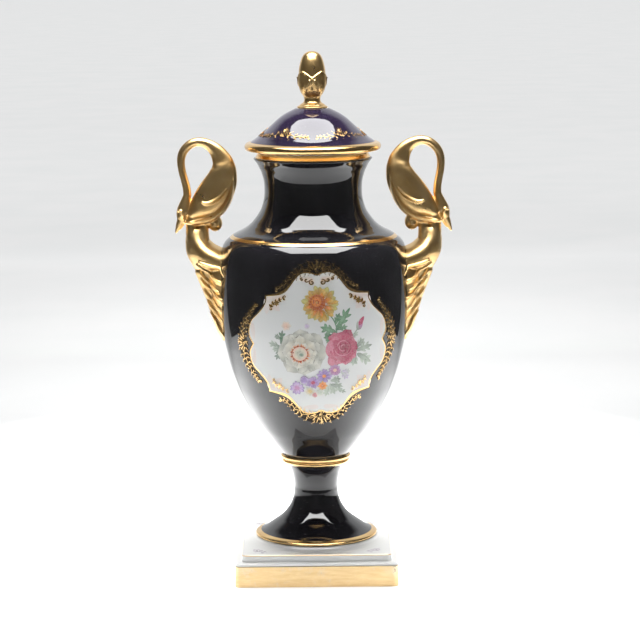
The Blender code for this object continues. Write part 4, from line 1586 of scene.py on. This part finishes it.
class URN_OT_finial(bpy.types.Operator):
    """Build the gilt bud finial in its sepals"""

    bl_idname = "urn.finial"
    bl_label = "Finial"

    def execute(self, context):
        bottom = [(0.0, COLLAR[0][1]), COLLAR[0]]
        bm = turned([(bottom, 0), (catmull(COLLAR, 6), 0), (catmull(BUD, 9), 0)])
        for vert in bm.verts:
            radius = math.hypot(vert.co.x, vert.co.y)
            if vert.co.z > BUD[0][1] and radius > 0.0008:
                swell = self.relief(math.atan2(vert.co.x, -vert.co.y), vert.co.z)
                vert.co.x *= 1 + swell / radius
                vert.co.y *= 1 + swell / radius
        finish_piece(bm, "finial_gilt", [finishes()[SATIN]],
                     "finial", 60)
        return {"FINISHED"}

    def relief(self, azimuth, height):
        """Four broad sepals with curled lips, and a small cleft leaf between."""
        quarter = math.pi / 2
        near = (azimuth + quarter / 2) % quarter - quarter / 2
        big = abs(abs(near) - quarter / 2)
        lip = SEPAL_TIP - SEPAL_DROP * (big / (quarter / 2)) ** 1.4
        broad = smooth_step((lip - height) / 0.00045)
        curl = math.exp(-((height - lip + 0.0007) / 0.00075) ** 2)
        fade = smooth_step((height - BUD[0][1]) / 0.0050)
        foot = SEPAL_FOOT + 0.012 * (0.42 - abs(near))
        low_edge = smooth_step((height - foot) / 0.0006)
        cleft = SMALL_TIP + 0.0012 * math.cos(4 * math.pi * near / 0.62)
        width = 0.30 * smooth_step((height - SMALL_FOOT) / 0.0080)
        small = (smooth_step((width - abs(near)) / 0.05)
                 * smooth_step((cleft - height) / 0.0004))
        knot = math.exp(-((height - cleft + 0.0006) / 0.0006) ** 2) * small
        gap = math.exp(-(near / 0.085) ** 2 - ((height - NICK) / 0.0013) ** 2)
        return fade * (0.00042 * broad * max(low_edge, 0.35) + 0.00042 * curl * broad
                       + 0.00040 * small + 0.00035 * knot - 0.00070 * gap)


class URN_OT_handles(bpy.types.Operator):
    """Cast the two gilt swan handles and fit them to the belly"""

    bl_idname = "urn.handles"
    bl_label = "Swan handles"

    def execute(self, context):
        casting = cast_handle()
        for side, sign in (("left", -1.0), ("right", 1.0)):
            bm = bmesh.new()
            bm.from_mesh(casting.data)
            largest_part(bm)
            for vert in bm.verts:
                share = (vert.co.z - LEAN_FROM) / (LEAN_TO - LEAN_FROM)
                vert.co.x += LEAN[side] * max(share, 0.0)
            if sign < 0:
                bmesh.ops.scale(bm, vec=(-1.0, 1.0, 1.0), verts=bm.verts)
                bmesh.ops.reverse_faces(bm, faces=bm.faces)
            finish_piece(bm, f"swan_handle_{side}_gilt", [finishes()[SATIN]],
                         f"swan_handle_{side}", 75)
        bpy.data.objects.remove(casting)
        return {"FINISHED"}


class URN_OT_panel(bpy.types.Operator):
    """Lay the white panel on the belly, paint its flowers and gild its frame"""

    bl_idname = "urn.panel"
    bl_label = "Painted panel"

    def execute(self, context):
        white, gold = context.scene.urn_colors.panel, finishes()[GOLD]
        self.ground(panel_porcelain(tuple(white)))
        self.flowers()
        self.lace_dark_underlay()
        self.frame(gold)
        return {"FINISHED"}

    def ground(self, material):
        """The white ground, as rings that close on its middle."""
        bm = bmesh.new()
        lift = bm.verts.layers.float.new("lift")
        verts = [bm.verts.new((*point, 0.0)) for point in panel_outline()]
        edges = [bm.edges.new(pair) for pair in zip(verts, verts[1:] + verts[:1])]
        for ring in range(PANEL_RINGS):
            grown = bmesh.ops.extrude_edge_only(bm, edges=edges)["geom"]
            edges = open_edges(grown)
            size = 1 - 1 / (PANEL_RINGS + 1 - ring)
            bmesh.ops.scale(bm, vec=(size, size, 1.0), verts=new_verts(grown))
        bmesh.ops.contextual_create(bm, geom=edges)
        for vert in bm.verts:
            vert[lift] = LIFT_GROUND
        finish_piece(lay(bm, lift, on_belly), "panel_ground", [material])

    def flowers(self):
        """The pink washes and, over them, the spray."""
        art = Drawing(LIFT_GROUND + LIFT_STEP)
        self.washes(art)
        draw_flowers(art)
        finish_piece(art.laid(on_belly), "panel_flowers", [enamel()])

    def washes(self, art):
        """A pale pink ground in the corners and along the lobes."""
        for x, y in CORNERS:
            for root, tip, half in WASHES:
                art.petal((x * root[0], y * root[1]), (x * tip[0], y * tip[1]), half,
                          [PINK_WASH, PINK_WASH], streak=0.02)

    def lace_dark_underlay(self):
        """A dark brown, dull sheet under the lace and along the panel's edge, which
        kills the glaze's shine there and darkens it.
        """
        art = Drawing(LIFT_DARK_UNDERLAY)
        for line, mirror in self.garlands():
            for hand in (1, -1):
                places = catmull(line, 6)
                points = [mirror(place, hand) for place in places]
                art.stroke(points, [0.90 * place[2] for place in places], DARK_UNDERLAY)
        outline = panel_outline()
        art.stroke([*outline, outline[0]], [DARK_UNDERLAY_EDGE] * (len(outline) + 1), DARK_UNDERLAY)
        finish_piece(art.laid(on_belly), "lace_dark_underlay", [dark_underlay()])

    def garlands(self):
        """Each garland's half line, and how a place on it is mirrored."""
        def crest(way):
            return lambda place, hand: Vector((hand * place[0], way * place[1]))

        def side(way):
            return lambda place, hand: Vector((way * place[0], hand * place[1]))

        return ((CREST_LACE, crest(1)), (CREST_LACE, crest(-1)),
                (SIDE_LACE, side(1)), (SIDE_LACE, side(-1)))

    def frame(self, gold):
        """The gilt line round the panel, its garlands and its corner sprigs."""
        art = Drawing(LIFT_GOLD, seed=3)
        outline = panel_outline()
        widths = []
        for point in outline:
            hollow = math.exp(-((abs(point.x) - FRAME_HOLLOW) / FRAME_REACH) ** 2)
            hollow *= abs(point.y) > FRAME_LEVEL
            widths.append(FRAME_HALF + FRAME_SWELL * hollow)
        art.stroke([*outline, outline[0]], [*widths, widths[0]], ridge=FRAME_RIDGE)
        for seed, (line, mirror) in enumerate(self.garlands()):
            garland(art, line, mirror, seed)
        for x, y in CORNERS:
            self.corner(art, x, y)
        for x in (1, -1):
            for place, radius, start, turns in FRAME_CURLS:
                if x < 0:
                    start = math.pi - start
                middle = Vector((x * place[0], place[1]))
                art.line(scroll(middle, radius, start, x * turns, 0.8, 14), STROKE * 1.8,
                         STRAND)
        finish_piece(art.laid(on_belly), "panel_gilding", [gold])

    def corner(self, art, x, y):
        """A sprig in one corner of the panel: a vine with hooked ends and small leaves,
        fainter below."""
        stroke = STROKE * (1.25 if y > 0 else 0.65)
        vine = mirrored(catmull(CORNER_VINE, 4), x, y)
        art.line(vine, stroke, STRAND)
        for end, inner in ((vine[0], vine[1]), (vine[-1], vine[-2])):
            along = (end - inner).normalized()
            side = Vector((along.y, -along.x)) * x * y
            hook = end + side * 0.0010
            start = math.atan2(-side.y, -side.x)
            art.line(scroll(hook, 0.0010, start, -x * y * 0.8, 0.5), stroke, STRAND)
        for index in range(2, len(vine) - 1, 3):
            along = (vine[index + 1] - vine[index - 1]).normalized()
            side = quarter_turn(along)
            for hand in (1, -1):
                tip = vine[index] + along * 0.0014 + side * hand * 0.0019
                art.petal(vine[index], tip, 1.9 * stroke, GILT, 0.8, streak=0.0)
        root = vine[len(vine) // 2]
        for lean in (-0.5, 0.1, 0.7):
            way = Vector((-x * math.sin(0.75 + lean), -y * math.cos(0.75 + lean)))
            art.petal(root, root + way * 0.0036, 2.0 * stroke, GILT, 0.8, streak=0.0)


class URN_OT_stage(bpy.types.Operator):
    """Set the floor, the softbox, the dark curtain and the camera"""

    bl_idname = "urn.stage"
    bl_label = "Stage"

    def execute(self, context):
        studio = context.scene.urn_studio
        self.floor()
        self.curtain(studio)
        self.lights(studio)
        self.world(context)
        self.camera(context)
        return {"FINISHED"}

    def floor(self):
        """A wide pale paper, painted darker behind the urn where the key light falls
        hardest: a painted shade graded by the distance behind the urn.
        """
        bm = bmesh.new()
        bmesh.ops.create_grid(bm, x_segments=8, y_segments=8, size=FLOOR_HALF)
        floor = shaped(bm, "floor")
        material, tree, shader = new_material("pale floor")
        clouds = clouded(tree, (1.0, 1.0, 1.0), (0.965, 0.975, 0.975), 6.0, 2.0)
        far = FLOOR_PAINTED_SHADE[-1][0]
        behind = spread(tree, axis(tree, own_place(tree), "Y"), 0.0, 1.0, 0.0, far)
        # Painted shade: the paper's tone drops where the key light falls hardest.
        painted_floor_shade = ramp(tree, behind, [(place / far, (tone, tone, tone))
                                    for place, tone in FLOOR_PAINTED_SHADE])
        dress(tree, shader, {"Base Color": mix(tree, 1.0, painted_floor_shade, clouds, "MULTIPLY"),
                             "Roughness": 0.9, "Specular IOR Level": 0.1})
        floor.data.materials.append(material)

    def curtain(self, studio):
        """A black curtain round the front and sides, seen only in the gloss."""
        bm = bmesh.new()
        start = Matrix.Rotation(-CURTAIN_SWEEP / 2, 4, "Z")
        foot = [start @ Vector((0.0, -studio.curtain_radius, height))
                for height in (CURTAIN_LOW, CURTAIN_HIGH)]
        verts = [bm.verts.new(point) for point in foot]
        edge = bm.edges.new(verts)
        bmesh.ops.spin(bm, geom=verts + [edge], cent=(0, 0, 0), axis=(0, 0, 1),
                       angle=CURTAIN_SWEEP, steps=48)
        curtain = shaped(bm, "dark_curtain")
        material, tree, shader = new_material("black cloth")
        tone = ramp(tree, noise(tree, 900.0, 2.0),
                    [(0.3, (0.036, 0.036, 0.035)), (0.7, (0.052, 0.052, 0.050))])
        dress(tree, shader, {"Base Color": tone, "Roughness": 1.0,
                             "Specular IOR Level": 0.0})
        curtain.data.materials.append(material)
        curtain.visible_camera = False
        curtain.visible_diffuse = False
        curtain.visible_shadow = False

    def lights(self, studio):
        """A softbox that the gloss mirrors, the light that it casts, a wash over the
        far floor, and the light of the room."""
        width, depth = studio.softbox_width, studio.softbox_depth
        high = studio.softbox_height
        self.panel_light("softbox", width, depth, studio.softbox_power,
                         (0.0, SOFTBOX_BACK, high), lights_surfaces=False)
        self.panel_light("key_light", width, depth, studio.key_power,
                         (0.0, KEY_BACK, high), beam=KEY_SPREAD)
        middle = BACKDROP_START + BACKDROP_DEPTH / 2
        self.panel_light("backdrop_light", BACKDROP_WIDTH, BACKDROP_DEPTH,
                         studio.backdrop_power, (0.0, middle, BACKDROP_HEIGHT))
        fill = bpy.data.lights.new("room light", "SUN")
        fill.energy = ROOM_LIGHT
        fill.angle = ROOM_SOFTNESS
        lamp = bpy.data.objects.new("room_light", fill)
        lamp.rotation_euler = ROOM_TILT
        lamp.visible_glossy = False
        bpy.context.scene.collection.objects.link(lamp)

    def panel_light(self, name, width, depth, power, place, beam=math.pi,
                    lights_surfaces=True):
        """A light panel facing down. It either lights surfaces or shows in the gloss."""
        light = bpy.data.lights.new(name, "AREA")
        light.shape = "RECTANGLE"
        light.size, light.size_y = width, depth
        light.energy = power
        light.spread = beam
        lamp = bpy.data.objects.new(name, light)
        lamp.location = place
        lamp.visible_camera = False
        lamp.visible_diffuse = lights_surfaces
        lamp.visible_glossy = not lights_surfaces
        bpy.context.scene.collection.objects.link(lamp)

    def world(self, context):
        """White behind the urn, a dark room everywhere else."""
        world = bpy.data.worlds.new("studio")
        context.scene.world = world
        world.use_nodes = True
        tree = world.node_tree
        way = tree.nodes.new("ShaderNodeTexCoord").outputs["Generated"]
        wall = spread(tree, axis(tree, way, "Y"), DARK_ROOM, WHITE_WALL, 0.55, 0.72)
        path = tree.nodes.new("ShaderNodeLightPath")
        brightness = tree.nodes.new("ShaderNodeMix")
        dress(tree, brightness, {"Factor": path.outputs["Is Camera Ray"], "A": wall,
                                 "B": BACKGROUND})
        background = tree.nodes["Background"]
        dress(tree, background, {"Color": (0.97, 0.99, 1.0),
                                 "Strength": brightness.outputs["Result"]})

    def camera(self, context):
        """A long lens that looks down a little on the front."""
        camera = bpy.data.cameras.new("camera")
        camera.sensor_width = 36.0
        camera.lens = LENS
        camera.shift_x = SHIFT
        aim = Vector((0.0, 0.0, CAMERA_AIM))
        place = aim + CAMERA_DISTANCE * Vector((0.0, -math.cos(CAMERA_PITCH),
                                                math.sin(CAMERA_PITCH)))
        turn = (aim - place).to_track_quat("-Z", "Y").to_matrix().to_4x4()
        holder = bpy.data.objects.new("camera", camera)
        holder.matrix_world = (Matrix.Translation(place) @ turn
                               @ Matrix.Rotation(-CAMERA_ROLL, 4, "Z"))
        bpy.context.scene.collection.objects.link(holder)
        context.scene.camera = holder
        context.scene.view_settings.view_transform = "Standard"


class URN_PT_panel(bpy.types.Panel):
    """The urn's steps and settings"""

    bl_label = "Mantel urn"
    bl_idname = "URN_PT_panel"
    bl_space_type = "VIEW_3D"
    bl_region_type = "UI"
    bl_category = "Mantel urn"

    def draw(self, context):
        layout = self.layout
        for step in STEPS:
            layout.operator(step.bl_idname)
        for group in (context.scene.urn_colors, context.scene.urn_studio):
            box = layout.box()
            for name in group.__annotations__:
                box.prop(group, name)


STEPS = (URN_OT_plinth, URN_OT_foot, URN_OT_body, URN_OT_panel, URN_OT_handles,
         URN_OT_lid, URN_OT_finial, URN_OT_stage)
CLASSES = (UrnColors, UrnStudio, *STEPS, URN_PT_panel)


def register():
    for cls in CLASSES:
        bpy.utils.register_class(cls)
    bpy.types.Scene.urn_colors = PointerProperty(type=UrnColors)
    bpy.types.Scene.urn_studio = PointerProperty(type=UrnStudio)


def unregister():
    del bpy.types.Scene.urn_studio
    del bpy.types.Scene.urn_colors
    for cls in reversed(CLASSES):
        bpy.utils.unregister_class(cls)


def main():
    register()
    for step in STEPS:
        group, operation = step.bl_idname.split(".")
        getattr(getattr(bpy.ops, group), operation)()


if __name__ == "__main__":
    main()
